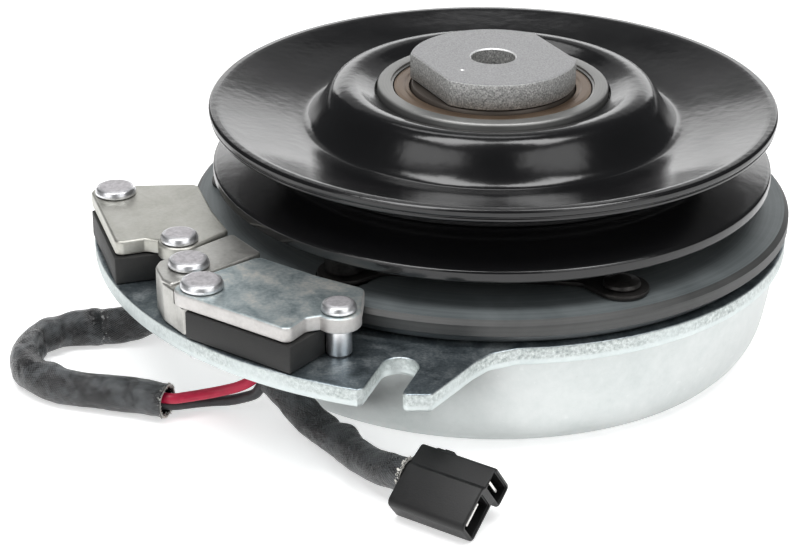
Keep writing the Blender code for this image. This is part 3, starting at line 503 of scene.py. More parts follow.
class Look:
    """A material's nodes, with short calls for the ones used most. Coordinates are in metres."""

    def __init__(self, name, colour=(0.5, 0.5, 0.5), metallic=0.0, roughness=0.5, **sockets):
        self.material = bpy.data.materials.new(name)
        self.material.use_nodes = True
        self.tree = self.material.node_tree
        self.shader = self.tree.nodes["Principled BSDF"]
        self.place = self.node("ShaderNodeTexCoord").outputs["Object"]
        self.set("Base Color", colour)
        self.set("Metallic", metallic)
        self.set("Roughness", roughness)
        for socket, value in sockets.items():
            self.set(socket.replace("_", " "), value)

    def node(self, kind, inputs=None, **settings):
        made = self.tree.nodes.new(kind)
        for key, value in settings.items():
            setattr(made, key, value)
        for key, value in (inputs or {}).items():
            self.feed(made.inputs[key], value)
        return made

    def feed(self, socket, value):
        if isinstance(value, bpy.types.NodeSocket):
            self.tree.links.new(value, socket)
        else:
            short = socket.type == "RGBA" and len(value) == 3
            socket.default_value = (*value, 1) if short else value

    def set(self, socket, value):
        self.feed(self.shader.inputs[socket], value)
        return self

    def noise(self, scale, detail=3.0, rough=0.5, where=None, warp=0.0):
        inputs = {"Vector": where or self.place, "Scale": scale, "Detail": detail}
        inputs |= {"Roughness": rough, "Distortion": warp}
        return self.node("ShaderNodeTexNoise", inputs).outputs["Fac"]

    def calc(self, operation, a, b=0.0):
        return self.node("ShaderNodeMath", {0: a, 1: b}, operation=operation).outputs[0]

    def plus(self, a, b):
        return self.calc("ADD", a, b)

    def times(self, a, b):
        return self.calc("MULTIPLY", a, b)

    def span(self, value, low, high, to_low, to_high):
        """value from low..high carried over to to_low..to_high, held at the ends."""
        inputs = dict(enumerate((value, low, high, to_low, to_high)))
        return self.node("ShaderNodeMapRange", inputs, clamp=True).outputs[0]

    def ramp(self, value, *stops):
        made = self.node("ShaderNodeValToRGB", {"Fac": value})
        marks = made.color_ramp.elements
        while len(marks) < len(stops):
            marks.new(0.5)
        for mark, (at, colour) in zip(marks, stops):
            mark.position = at
            mark.color = (*colour, 1)
        return made.outputs["Color"]

    def mix(self, share, a, b):
        inputs = {"Factor": share, 6: a, 7: b}
        return self.node("ShaderNodeMix", inputs, data_type="RGBA").outputs[2]

    def bump(self, height, strength, distance, before=None):
        inputs = {"Height": height, "Strength": strength, "Distance": distance}
        if before is not None:
            inputs["Normal"] = before
        return self.node("ShaderNodeBump", inputs).outputs["Normal"]

    def split(self, vector):
        return self.node("ShaderNodeSeparateXYZ", {0: vector}).outputs

    def upright(self):
        """How far the surface faces up, from -1 to 1."""
        return self.split(self.node("ShaderNodeNewGeometry").outputs["Normal"])["Z"]

    def surface(self, colour, roughness, normal):
        """The finished material with these three."""
        for socket, value in zip(("Base Color", "Roughness", "Normal"), (colour, roughness, normal)):
            self.set(socket, value)
        return self.material


def paint_look():
    """Gloss black dip paint: faint orange peel, long soft flow marks, a few pale specks."""
    black = (0.006, 0.006, 0.0065)
    look = Look("black_paint", black, 0.0, 0.2, Specular_IOR_Level=0.55)
    # small pale grey specks, gathered in patches and a little rougher
    pale_specks = look.span(look.noise(5200, 2, 0.6), 0.70, 0.78, 0, 1)
    patch = look.noise(60, 4, 0.55)
    specked = look.times(pale_specks, look.span(patch, 0.4, 0.7, 0.0, 0.5))
    rough = look.span(patch, 0.3, 0.75, 0.14, 0.22)
    peel = look.bump(look.noise(420, 2, 0.4), 0.10, 0.0004)
    return look.surface(
        look.mix(specked, black, (0.10, 0.105, 0.11)), look.plus(rough, look.times(specked, 0.3)),
        look.bump(look.noise(45, 2, 0.4), 0.16, 0.0010, peel)
    )


def sintered_look():
    """Powder-metal steel: open grey grain, smoother and paler on pressed tops, and a painted highlight on
    its rounded edges.
    """
    look = Look("sintered_steel", (0.4, 0.4, 0.4), 0.75, 0.5)
    grain = look.noise(2100, 5, 0.7)
    pores = look.span(look.noise(3200, 3, 0.7), 0.34, 0.44, 1, 0)
    upright = look.upright()
    top = look.span(upright, 0.80, 0.97, 0, 1)
    greys = ((0.30, (0.16, 0.16, 0.16)), (0.52, (0.50, 0.50, 0.49)), (0.72, (0.95, 0.94, 0.92)))
    side = look.ramp(grain, *greys)
    face = look.ramp(grain, (0.3, (0.28, 0.28, 0.285)), (0.7, (0.47, 0.47, 0.475)))
    # painted highlight: the rounded edges between sides and tops are coloured near white
    painted_edge_highlight = look.times(look.span(upright, 0.25, 0.5, 0, 1), look.span(upright, 0.75, 0.95, 1, 0))
    colour = look.mix(painted_edge_highlight, look.mix(top, side, face), (0.9, 0.9, 0.9))
    holes = look.times(pores, look.span(top, 0, 1, 0.7, 0.12))
    rise = look.calc("SUBTRACT", grain, look.times(holes, 0.8))
    return look.surface(
        look.mix(holes, colour, (0.05, 0.05, 0.05)), look.span(grain, 0.3, 0.7, 0.62, 0.46),
        look.bump(rise, 0.5, 0.00025)
    )


def turned_look(name, dark, light, metallic, rough, lines, depth, top=None):
    """Turned metal with fine rings about the shaft, and a little unevenness; top tints its tops, a
    painted light that makes them lighter than the sides.
    """
    look = Look(name, light, metallic, rough[0])
    flat = look.node("ShaderNodeVectorMath", {0: look.place, 1: (1, 1, 0)}, operation="MULTIPLY")
    long = look.node("ShaderNodeVectorMath", {0: flat.outputs[0]}, operation="LENGTH")
    line = {"X": long.outputs["Value"], "Y": look.split(look.place)["Z"]}
    rings = look.noise(lines, 3, 0.6, look.node("ShaderNodeCombineXYZ", line).outputs[0])
    stain = look.noise(55, 5, 0.6, warp=0.6)
    both = look.plus(look.times(rings, 0.5), look.times(stain, 0.5))
    colour = look.ramp(both, (0.34, dark), (0.66, light))
    if top:
        # painted light: tops that face up get their own lighter tint
        face = look.ramp(both, (0.36, top[0]), (0.64, top[1]))
        colour = look.mix(look.span(look.upright(), 0.8, 0.95, 0, 1), colour, face)
    fine = look.bump(look.noise(1800, 3, 0.6), 0.12, 0.00015)
    roughness = look.span(both, 0.35, 0.65, rough[1], rough[0])
    return look.surface(colour, roughness, look.bump(rings, depth, 0.00012, fine))


def zinc_look(name, dark, light, tint, rough, blotch, sides=None, torn=None):
    """Bright zinc plate: cloudy blotches, fine speckle, rubbed scratches; sides tints cut edges, and
    above the height torn they are rough from the press."""
    look = Look(name, light, 0.92, rough[0])
    cloud = look.noise(blotch, 6, 0.62, warp=0.5)
    fine = look.noise(blotch * 9, 4, 0.65)
    both = look.plus(look.times(cloud, 0.68), look.times(fine, 0.32))
    colour = look.ramp(both, (0.36, dark), (0.50, light), (0.64, tint))
    stretch = {"Vector": look.place, "Scale": (1.0, 0.06, 1.0)}
    scratch = look.noise(500, 2, 0.5, look.node("ShaderNodeMapping", stretch).outputs[0])
    scored = look.span(scratch, 0.68, 0.74, 0, 0.10)
    colour = look.mix(scored, colour, (0.88, 0.88, 0.87))
    speck = look.span(look.noise(2400, 2, 0.6), 0.72, 0.78, 0, 0.5)
    colour = look.mix(speck, colour, (0.20, 0.21, 0.22))
    roughness = look.span(both, 0.36, 0.64, rough[1], rough[0])
    soft = look.bump(look.noise(160, 3, 0.5), 0.10, 0.0006)
    normal = look.bump(look.plus(fine, scored), 0.14, 0.0002, soft)
    if sides:
        side = look.span(look.upright(), 0.55, 0.85, 1, 0)
        edge = look.ramp(both, (0.38, sides[0]), (0.62, sides[1]))
        if torn:
            height = look.split(look.place)["Z"]
            coarse = look.noise(1100, 4, 0.7)
            rough_zone = look.times(look.span(height, torn, torn + 0.0006, 0, 1), side)
            pits = look.times(rough_zone, look.span(look.noise(28, 2, 0.5), 0.40, 0.55, 0.25, 1))
            grain = look.ramp(coarse, (0.34, (0.30, 0.335, 0.33)), (0.66, (0.66, 0.70, 0.69)))
            edge = look.mix(pits, edge, grain)
            normal = look.bump(look.times(coarse, pits), 0.6, 0.0003, normal)
        colour = look.mix(side, colour, edge)
        roughness = look.plus(roughness, look.times(side, 0.14))
    return look.surface(colour, roughness, normal)


def rivet_look():
    """Zinc-plated rivets: burnished shanks and sides, tops left matte by the riveting tool."""
    look = Look("rivet_steel", (0.72, 0.71, 0.73), 0.95, 0.24)
    top = look.span(look.upright(), 0.90, 0.985, 0, 1)
    cloud = look.noise(700, 5, 0.65)
    face = look.ramp(cloud, (0.34, (0.46, 0.445, 0.46)), (0.60, (0.62, 0.60, 0.62)))
    side = look.ramp(cloud, (0.30, (0.66, 0.67, 0.69)), (0.70, (0.86, 0.86, 0.87)))
    rough = look.plus(look.times(top, 0.26), look.span(cloud, 0.3, 0.7, 0.38, 0.28))
    return look.surface(look.mix(top, side, face), rough, look.bump(cloud, 0.16, 0.0002))


def plain_look(name, dark, light, metallic, rough, scale, depth, specular=0.5):
    """A moulded, pressed or cast surface with its own grain."""
    look = Look(name, light, metallic, rough[0], Specular_IOR_Level=specular)
    cloud = look.noise(scale * 0.12, 4, 0.6)
    fine = look.noise(scale, 4, 0.65)
    both = look.plus(look.times(cloud, 0.5), look.times(fine, 0.5))
    colour = look.ramp(both, (0.36, dark), (0.64, light))
    roughness = look.span(both, 0.36, 0.64, rough[1], rough[0])
    return look.surface(colour, roughness, look.bump(fine, depth, 0.0002))


def woven_look(name, sheen_and_wear_tint, frayed_at=None):
    """Black coated cloth sleeve: a twill of fine threads with a slightly shiny coat, in patches lighter
    and bluish, partly wear and partly painted sheen, and frayed in a crease at frayed_at centimetres
    along it."""
    look = Look(name, (0.02, 0.02, 0.022), 0.0, 0.5, Sheen_Weight=0.12)
    parts = look.split(look.node("ShaderNodeUVMap", uv_map="weave").outputs["UV"])
    pitch = 2 * pi / 0.068
    along = look.times(parts["X"], pitch)
    across = look.times(parts["Y"], pitch)
    one = look.calc("SINE", look.plus(along, across))
    two = look.calc("SINE", look.calc("SUBTRACT", across, look.times(along, 0.45)))
    weave = look.plus(look.times(one, 0.6), look.times(two, 0.4))
    # lighter bluish patches: partly wear, partly a painted sheen
    sheen_and_wear = look.noise(150, 5, 0.65)
    lit = look.span(look.plus(look.times(weave, 0.08), sheen_and_wear), 0.46, 0.72, 0, 1)
    colour = look.mix(lit, (0.006, 0.006, 0.007), sheen_and_wear_tint)
    if frayed_at:
        drift = look.times(look.noise(120, 2), 0.5)
        off = look.calc("ABSOLUTE", look.calc("SUBTRACT", look.plus(parts["X"], drift), frayed_at))
        threads = look.span(look.noise(1300, 2), 0.58, 0.66, 0, 1)
        frayed = look.times(look.span(off, 0.03, 0.16, 1, 0), threads)
        colour = look.mix(frayed, colour, (0.34, 0.34, 0.33))
    creases = look.bump(look.noise(210, 4, 0.6, warp=0.9), 0.8, 0.0014)
    roughness = look.span(lit, 0, 1, 0.26, 0.46)
    return look.surface(colour, roughness, look.bump(weave, 0.45, 0.0001, creases))


def make_looks():
    made = [paint_look(), sintered_look(), rivet_look()]
    made += [turned_look(*row) for row in TURNED_LOOKS]
    made += [zinc_look(*row) for row in ZINC_LOOKS]
    made += [plain_look(*row) for row in PLAIN_LOOKS]
    # second tints: the sleeves' lighter patches, wear and painted sheen
    made.append(woven_look("woven_sleeve", (0.052, 0.057, 0.061)))
    made.append(woven_look("woven_sleeve_frayed", (0.098, 0.106, 0.112), 2.87))
    LOOKS.update({material.name.split(".")[0]: material for material in made})


# ---- camera, floor and light


def make_camera():
    data = bpy.data.cameras.new("camera")
    data.lens = CAMERA_LENS
    data.sensor_width = 36.0
    data.clip_start = 0.01
    camera = add_object("camera", data)
    place = Vector(CAMERA_PLACE)
    turn = (Vector(CAMERA_AIM) - place).to_track_quat("-Z", "Y").to_matrix()
    turn = turn @ Matrix.Rotation(radians(CAMERA_ROLL), 3, "Z")
    camera.matrix_world = Matrix.Translation(place) @ turn.to_4x4()
    bpy.context.scene.camera = camera


def make_floor():
    look = Look("floor", (0.93, 0.93, 0.93), 0.0, 0.9, Specular_IOR_Level=0.1)
    look.set("Emission Color", (1, 1, 1, 1)).set("Emission Strength", 0.50)
    tone = look.noise(3, 2, 0.5)
    look.set("Base Color", look.ramp(tone, (0.3, (0.92, 0.92, 0.92)), (0.7, (0.94, 0.94, 0.94))))
    shape = bmesh.new()
    bmesh.ops.create_circle(shape, cap_ends=True, segments=96, radius=6.0)
    mesh = bpy.data.meshes.new("floor")
    shape.to_mesh(mesh)
    shape.free()
    mesh.materials.append(look.material)
    floor = add_object("floor", mesh)
    floor.location.z = -0.0002


def softbox(name, place, aim_height, size, power):
    data = bpy.data.lights.new(name, "AREA")
    data.shape = "RECTANGLE"
    data.size, data.size_y = size
    data.energy = power
    lamp = add_object(name, data)
    lamp.location = place
    way = Vector((0, 0, aim_height)) - Vector(place)
    lamp.rotation_euler = way.to_track_quat("-Z", "Y").to_euler()


def make_light():
    world = bpy.data.worlds.new("studio")
    bpy.context.scene.world = world
    world.use_nodes = True
    back = world.node_tree.nodes["Background"]
    back.inputs["Color"].default_value = (0.94, 0.97, 1.0, 1)
    back.inputs["Strength"].default_value = 0.08
    for row in SOFTBOXES:
        softbox(*row)
    view = bpy.context.scene.view_settings
    view.view_transform = "Standard"
    view.look = "None"


# ---- coil lead


def gauss(x, width):
    return exp(-((x / width) ** 2))


def turn_gap(a, turn):
    """The angle between a, in radians, and a direction in degrees."""
    return abs((a - radians(turn) + pi) % (2 * pi) - pi)


def sleeve_form(seed, folds, flats):
    """A form for hose_shape: slack cloth with soft dents, fold ridges and flattened stretches."""

    def form(s, a):
        swell = 1.0
        for at, width, where, amount in flats:
            # a flattened sleeve is wider one way and thinner across that
            swell += amount * gauss(s - at, width) * cos(2 * a - radians(2 * where))
        for at, width, where, spread, amount in folds:
            swell += amount * gauss(s - at, width) * gauss(turn_gap(a, where), radians(spread))
        drift = Vector((s * 0.11, cos(a) * 0.9 + seed, sin(a) * 0.9))
        swell += 0.07 * noise.noise(drift)
        swell += 0.035 * noise.noise(drift * 3.1)
        weave = sin(a * 34 + s * 6.3) * 0.6 + sin(a * 34 - s * 2.6) * 0.4
        return swell + 0.0035 * weave

    return form


def add_threads(shape, path, radius, count, seed, seat=None):
    """Cut thread ends that stand out of a sleeve's far mouth, as small bent fibres."""
    dice = random.Random(seed)
    here = path[-1]
    ahead = (path[-1] - path[-2]).normalized()
    side, up = axes_along(ahead)
    for i in range(count):
        a = 2 * pi * (i + dice.uniform(-0.35, 0.35)) / count
        way = side * cos(a) + up * sin(a)
        tangent = up * cos(a) - side * sin(a)
        start = here + way * (radius + dice.uniform(-0.35, 0.25)) - ahead * dice.uniform(0.3, 1.0)
        if seat:
            start += ahead * ((seat[0] - here - way * radius).dot(seat[1]) / ahead.dot(seat[1]))
        tip = ahead * dice.uniform(0.6, 0.7) + way * dice.uniform(-0.2, 0.45)
        tip += tangent * dice.uniform(-0.7, 0.7)
        thick = dice.uniform(0.16, 0.34)
        rings = []
        for k in range(4):
            t = k / 3
            centre = start + tip * t + way * (0.25 * sin(3 * t + i))
            size = thick * (1 - 0.5 * t)
            corners = ((1, 0), (0, 1), (-1, 0), (0, -1))
            ring = [centre + (way * x + tangent * y) * size for x, y in corners]
            rings.append([shape.verts.new(p * MM) for p in ring])
        faces = [face for low, high in zip(rings, rings[1:]) for face in bridge(shape, low, high)]
        for face in faces + [shape.faces.new(ring) for ring in (rings[0], rings[-1])]:
            face.material_index = 1


def make_sleeve(name, look, path, diameter, around, form, wall, threads, seat=None):
    """A hollow cloth sleeve with cut threads at its far mouth."""
    shape = hose_shape(path, diameter / 2, around, form, wall, seat)
    ring, count, seed = threads
    add_threads(shape, path, diameter / 2 + ring, count, seed, seat)
    sleeve = loose_piece(name, shape, look, "thread", sharp=60)
    settle(sleeve, "field", "lead_sleeve_" + name.split("_")[0])
    return sleeve


def make_lead():
    """The sleeve from the cup, folded back on itself, its two wires, and the sleeve to the plug."""
    first = even(smooth(FIRST_SLEEVE_ROUTE, 24), 0.45)
    folds = [
        (38.0, 2.4, 150, 60, -0.34), (42.0, 2.0, 110, 50, 0.15), (46.0, 2.2, 172, 50, -0.42),
        (50.5, 1.1, 150, 45, 0.16), (54.0, 8.0, 112, 17, 0.22), (54.0, 8.5, 158, 26, -0.42),
        (58.5, 1.2, 150, 40, 0.14), (62.0, 1.8, 170, 45, -0.20), (26.5, 1.1, 150, 75, -0.20),
        (29.0, 1.4, 120, 70, 0.10), (22.0, 2.6, 160, 50, -0.12), (73.0, 2.4, 115, 40, 0.15),
        (79.0, 5.0, 60, 45, -0.06), (64.0, 2.0, 330, 50, 0.08)
    ]
    flats = [(27.0, 11.0, 63, 0.13), (50.0, 9.0, 60, -0.06), (72.0, 10.0, 110, 0.05)]
    form = sleeve_form(3.1, folds, flats)
    wide = FIRST_SLEEVE_DIAMETER
    sleeve = make_sleeve(
        "first_sleeve", "woven_sleeve_frayed", first, wide, 72, form, 0.55, (-0.3, 76, 7)
    )
    for colour, route in (("red", RED_WIRE_ROUTE), ("black", BLACK_WIRE_ROUTE)):
        path = even(smooth(route, 24), 0.4)

        def form(s, a, seed=len(colour)):
            return 1 + 0.02 * noise.noise(Vector((s * 0.3, cos(a) + seed, sin(a))))

        shape = hose_shape(path, WIRE_DIAMETER / 2, 24, form)
        look = f"{colour}_insulation"
        wire = finish_piece(f"{colour}_wire", shape, look, "field", f"lead_wire_{colour}")
    second = even(smooth(SECOND_SLEEVE_ROUTE, 24), 0.45)
    folds = [
        (15.0, 3.5, 60, 40, -0.22), (23.0, 1.4, 130, 60, -0.18), (28.0, 2.6, 130, 55, 0.20),
        (33.5, 1.4, 100, 60, -0.10), (9.0, 2.0, 60, 50, -0.10), (40.0, 2.0, 40, 50, -0.07)
    ]
    flats = [(18.0, 7.0, 90, -0.05), (40.0, 12.0, 0, 0.03)]
    form = sleeve_form(8.4, folds, flats)
    axis = connector_frame().col[2].to_3d().normalized()
    seat = (Vector(CONNECTOR_ORIGIN) - axis * 0.1, axis)
    wide = SECOND_SLEEVE_DIAMETER
    sleeve = make_sleeve(
        "second_sleeve", "woven_sleeve", second, wide, 68, form, 0.5, (0.1, 70, 11), seat
    )
    make_connector()


def connector_frame():
    """The connector's own axes: Z along it to its mating face, X across it, Y up its cavities."""
    turn = Matrix.Rotation(radians(CONNECTOR_TURN), 3, "Z")
    along = turn @ Vector((1, 0, 0))
    side = turn @ Vector((0, 1, 0))
    roll = radians(CONNECTOR_ROLL)
    up = cos(roll) * side + sin(roll) * Vector((0, 0, 1))
    across = up.cross(along)
    axes = Matrix((across, up, along)).transposed()
    return Matrix.Translation(Vector(CONNECTOR_ORIGIN) * MM) @ axes.to_4x4()


def box_outline(u0, u1, v0, v1, radius):
    return rounded([(u0, v0, radius), (u1, v0, radius), (u1, v1, radius), (u0, v1, radius)], 3)


def make_connector():
    """The two-way plug and its blades."""
    frame = connector_frame()
    outline = [
        (-4.1, -8.9, 1.7), (3.8, -8.9, 1.6), (3.8, 2.4, 0.3), (7.6, 2.4, 1.5), (7.6, 8.9, 1.5),
        (-2.3, 8.9, 1.0), (-3.2, 3.1, 0.3), (-4.1, 2.2, 0.3)
    ]
    length = CONNECTOR_LENGTH
    shape = plate_shape(rounded(outline, 5), [], 0, length, 0.5, 0.7)
    housing = loose_piece("plug_housing", shape, "connector_plastic")
    tall = (-3.0, 2.7, -7.8, 1.0)
    wide = (-2.2, 6.5, 3.5, 7.8)
    for u0, u1, v0, v1 in (tall, wide):
        cut(housing, plate_shape(box_outline(u0, u1, v0, v1, 0.5), [], length - 12, length + 2, 0.3))
        lip = box_outline(u0 - 0.25, u1 + 0.25, v0 - 0.25, v1 + 0.25, 0.6)
        cut(housing, plate_shape(lip, [], length - 0.45, length + 2, 0.2))
    latch = plate_shape(box_outline(-0.7, 1.5, 8.0, 9.95, 0.6), [], 5.7, 8.3, 0.3)
    ridge = plate_shape(box_outline(-2.0, 2.0, 8.2, 9.15, 0.3), [], 4.4, 9.6, 0.12)
    for added in (latch, ridge):
        cut(housing, added, "UNION")
    housing.data.transform(frame)
    settle(housing, "field", "connector_housing")
    pieces = [housing]
    for name, (u0, u1, v0, v1), (across, up) in (
        ("terminal_upright", tall, (0.4, 3.15)), ("terminal_lying", wide, (3.15, 0.4))
    ):
        u, v = (u0 + u1) / 2, (v0 + v1) / 2
        base = box_outline(u - across, u + across, v - up, v + up, 0.3)
        shape = plate_shape(base, [], length - 11.7, length - 1.3, 0.15)
        blade = loose_piece(f"blade_{name}", shape, "tinned_brass")
        blade.data.transform(frame)
        settle(blade, "field", name)
        pieces.append(blade)
    return pieces


# ---- pulley, bearing and hub


def turned_piece(name, profile, look, body, node, steps=LATHE_STEPS, at=(0, 0), fine=4, slot=None):
    shape = lathe_shape(rounded(profile, fine), steps, at)
    return finish_piece(name, shape, look, body, node)


def sloped(radius, rim_radius, rim_z, slope):
    return rim_z + slope * (rim_radius - radius)


def under_flange(radius):
    """The height of the lower sheave's cone, on its groove side."""
    return sloped(radius, 75.4, 49.8, PULLEY_SLOPE)


def make_pulley():
    dome = smooth(
        [
            (72.9, 66.15), (64.0, 63.7), (56.5, 61.95), (52.2, 61.0), (50.2, 61.0), (48.4, 62.3),
            (46.2, 65.2), (43.9, 68.9), (42.0, 70.8), (39.6, 71.5), (37.2, 71.3), (35.2, 70.5),
            (33.6, 69.8)
        ],
        6
    )
    upper = [
        (31.5, 69.2, 0.4), (31.5, 66.2), (36.4, 66.2, 0.6), (38.2, 67.6, 1.5), (41.0, 66.6, 2.0),
        (48.2, 56.4, 3.0), (52.0, 55.2, 1.0), (60.5, 55.2, 0.3), (60.5, 58.4, 1.6),
        (75.2, sloped(75.2, 76.2, 63.2, -PULLEY_SLOPE), 0.9), (75.85, 63.45, 0.4), (75.9, 64.0, 0.3),
        (75.7, 64.25, 0.2), (76.15, 64.75, 0.5), (76.2, 65.9, 0.6), (75.6, 66.5, 0.6), (74.2, 66.5, 0.9)
    ]
    shape = lathe_shape(rounded(upper, 4) + [tuple(p) for p in dome])
    finish_piece("upper_sheave", shape, "black_paint", "pulley_body", "pulley_upper_sheave")
    lower = [
        (61.0, under_flange(61.0), 0.8), (74.4, under_flange(74.4), 0.8), (75.4, 49.7, 0.9),
        (75.4, 46.9, 0.8), (74.3, 46.5, 0.6), (62.0, under_flange(62.0) - 3.8, 2.0), (58.0, 51.3, 1.0),
        (37.4, 51.3, 0.3), (37.4, 54.9, 0.3), (60.0, 54.9, 0.5)
    ]
    turned_piece("lower_sheave", lower, "black_paint", "pulley_body", "pulley_lower_sheave", fine=5)


def make_bearings():
    for name, low, top, rows, outer_body in (
        ("pulley_bearing", 49.8, 70.8, (64.8, 55.8), "pulley_body"),
        ("field_bearing", 3.6, 17.6, (10.6,), "field")
    ):
        grooves_out, grooves_in = [], []
        for z in rows:
            for i in range(9):
                x, y = polar(3.6, 48 - 12 * i)
                grooves_out.append((24.3 + x, z + y))
                grooves_in.append((24.3 - x, z + y))
        highest, lowest = rows[0] + 2.8, rows[-1] - 2.8
        outer = [(31.0, low, 0.8), (31.0, top, 0.8), (27.3, top, 0.25), (27.3, top - 0.6)]
        outer += [(26.8, top - 0.8), (26.8, highest), *grooves_out, (26.8, lowest)]
        outer += [(26.8, low + 0.8), (27.3, low + 0.6), (27.3, low, 0.25)]
        inner = [(17.8, low, 0.5), (17.8, top, 0.5), (21.6, top, 0.25), (22.0, top - 0.8)]
        inner += [(22.0, highest), *grooves_in, (22.0, lowest), (22.0, low + 0.8)]
        inner += [(21.6, low, 0.25)]
        for part, ring, look, body in (
            ("outer", outer, "bearing_steel", outer_body), ("inner", inner, "race_steel", "rotor_body")
        ):
            node = f"{name}_{part}_race"
            turned_piece(f"{name}_{part}_ring", ring, look, body, node, slot="bearing_steel")
        for edge, z, out in (("top", top - 1.5, 1), ("bottom", low + 1.5, -1)):
            shield = [
                (22.4, z, 0.1), (22.4, z + 0.6 * out, 0.15), (23.4, z + 0.6 * out, 0.3),
                (23.9, z + 0.85 * out, 0.3), (25.4, z + 0.85 * out, 0.4), (26.5, z + 0.6 * out, 0.2),
                (26.5, z, 0.1)
            ]
            node = f"{name}_shield_{edge}"
            turned_piece(f"{name}_cover_{edge}", shield, "shield_bronze", outer_body, node, 128)


def hub_outline(radius, flat, angle):
    """A round head with two flats across it."""
    half = degrees(acos(flat / radius))
    points = []
    for side in (0, 180):
        start = angle + side + half
        points += arc((0, 0), radius, start, start + 180 - 2 * half, 40)
    return points


def make_hub():
    shape = plate_shape(hub_outline(22.2, 19.0, 28), [], 71.1, 78.2, 0.55, 0.5, 2)
    head = loose_piece("hub", shape, "sintered_steel")
    shaft = [
        (0, 71.6), (17.5, 71.6), (17.5, 3.1, 0.1), (16.5, 3.1, 0.1), (16.5, 1.9, 0.1), (17.5, 1.9, 0.1),
        (17.5, 1.0, 0.5), (0, 1.0)
    ]
    cut(head, lathe_shape(rounded(shaft, 3), 128), "UNION")
    bore = [
        (0, 0.0), (13.6, 0.0), (13.6, 1.0), (12.7, 1.9), (12.7, 61.0), (5.95, 61.0), (5.95, 77.85),
        (6.3, 78.2), (6.3, 79.0), (0, 79.0)
    ]
    cut(head, lathe_shape(bore, 96))
    keyway = [(0, -3.175), (15.1, -3.175), (15.1, 3.175), (0, 3.175)]
    cut(head, plate_shape(keyway, [], -1, 60, 0.02))
    dimple = [(0, 77.5), (0.7, 78.3), (0.7, 79), (0, 79)]
    cut(head, lathe_shape(dimple, 24, (-8.1, -11.2)))
    settle(head, "rotor_body", "hub_shaft")


# ---- rotor, armature and springs


def banana(radius, half_width, start, end, steps=24):
    """A slot that follows an arc about the shaft, with round ends."""
    points = arc((0, 0), radius + half_width, start, end, steps)
    points += arc(polar(radius, end), half_width, end, end + 180, 6)[1:-1]
    points += arc((0, 0), radius - half_width, end, start, steps)
    points += arc(polar(radius, start), half_width, start + 180, start + 360, 6)[1:-1]
    return points


def make_rotor():
    rotor = [
        (77.8, 34.35, 0.5), (77.8, 32.1, 0.4), (74.2, 32.1, 0.4), (74.2, 26.6, 0.5), (27.0, 26.6, 1),
        (23.0, 22.6, 1), (21.5, 18.0, 0.4), (17.8, 18.0, 0.4), (17.8, 49.4, 0.4), (21.5, 49.4, 0.5),
        (21.5, 38.0, 1), (24.0, 34.35, 0.5), (60.0, 34.35, 0.1), (60.0, 32.55, 0.1), (66.0, 32.55, 0.1),
        (66.0, 34.35, 0.1)
    ]
    piece = turned_piece("rotor_disc", rotor, "dark_steel", "rotor_body", "rotor")
    for i in range(4):
        cut(piece, plate_shape(banana(63.0, 1.6, 90 * i + 9, 90 * i + 81), [], 20, 40, 0.02))


def strap_outline(a, b):
    """A strap with a round pad at each end and a body that lies inwards of the line between them."""
    along = (b - a).normalized()
    outward = Vector((-along.y, along.x))
    heading = degrees(atan2(along.y, along.x))
    corners = arc(b, 7.0, heading + 135, heading - 90, 32)
    corners.append((*(b - along * 9.9 - outward * 9.0), 3))
    corners.append((*(a + along * 9.9 - outward * 9.0), 3))
    corners += arc(a, 7.0, heading - 90, heading - 315, 32)
    corners.append((*(a + along * 9.9), 3))
    corners.append((*(b - along * 9.9), 3))
    return rounded(corners, 6)


def make_armature():
    holes = [circle((0, 0), 43.0, 128)]
    for start in SPRING_STARTS:
        holes.append(circle(polar(SPRING_ARMATURE_RADIUS, start), RIVET_HOLE, 24))
        holes.append(circle(polar(SPRING_PULLEY_RADIUS, start - SPRING_SPAN), 6.2, 40))
    holes += [banana(54.0, 1.5, 120 * i + 8, 120 * i + 112) for i in range(3)]
    shape = plate_shape(circle((0, 0), 80.9, LATHE_STEPS), holes, *ARMATURE, 1.2, 0.4, 1)
    finish_piece("armature_ring", shape, "armature_steel", "armature_body", "armature")
    rivet = [
        (0, 42.5), (2.4, 42.45, 0.4), (4.5, 41.9, 0.5), (4.9, 41.2, 0.3), (4.8, 40.9), (2.5, 40.9),
        (2.5, 35.1, 0.2), (0, 35.1)
    ]
    stud = [
        (0, 52), (5.0, 52), (5.0, 40.9, 0.4), (2.5, 40.9), (2.5, 39.1), (4.4, 39.1, 0.3),
        (4.2, 37.3, 0.5), (0, 37.3)
    ]
    inner, reach = SPRING_PULLEY_RADIUS - 6, SPRING_PULLEY_RADIUS + 6
    seat = [(reach, under_flange(reach) - 3.9), (inner, under_flange(inner) - 3.9)]
    seat += [(inner, 60), (reach, 60)]
    pin = {"look": "spring_steel", "steps": PIN_STEPS}
    for i, start in enumerate(SPRING_STARTS, 1):
        a = Vector(polar(SPRING_ARMATURE_RADIUS, start))
        b = Vector(polar(SPRING_PULLEY_RADIUS, start - SPRING_SPAN))
        head = {"body": "armature_body", "node": f"armature_rivet_{i}"}
        turned_piece(f"armature_rivet_head_{i}", rivet, at=a, **head, **pin)
        foot = {"body": "pulley_body", "node": f"spring_stud_{i}"}
        peg = turned_piece(f"pulley_stud_{i}", stud, at=b, **foot, **pin)
        cut(peg, lathe_shape(seat, 96))
        holes = [circle(p, RIVET_HOLE, 24) for p in (a, b)]
        shape = plate_shape(strap_outline(a, b), holes, *STRAPS, 0.25, 0.25, 2)
        strap = loose_piece(f"spring_strap_{i}", shape, "spring_steel")
        start, end = (Vector((*p, 40)) * MM for p in (b, a))
        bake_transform(strap)
        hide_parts(f"leaf_spring_{i}")


# ---- field


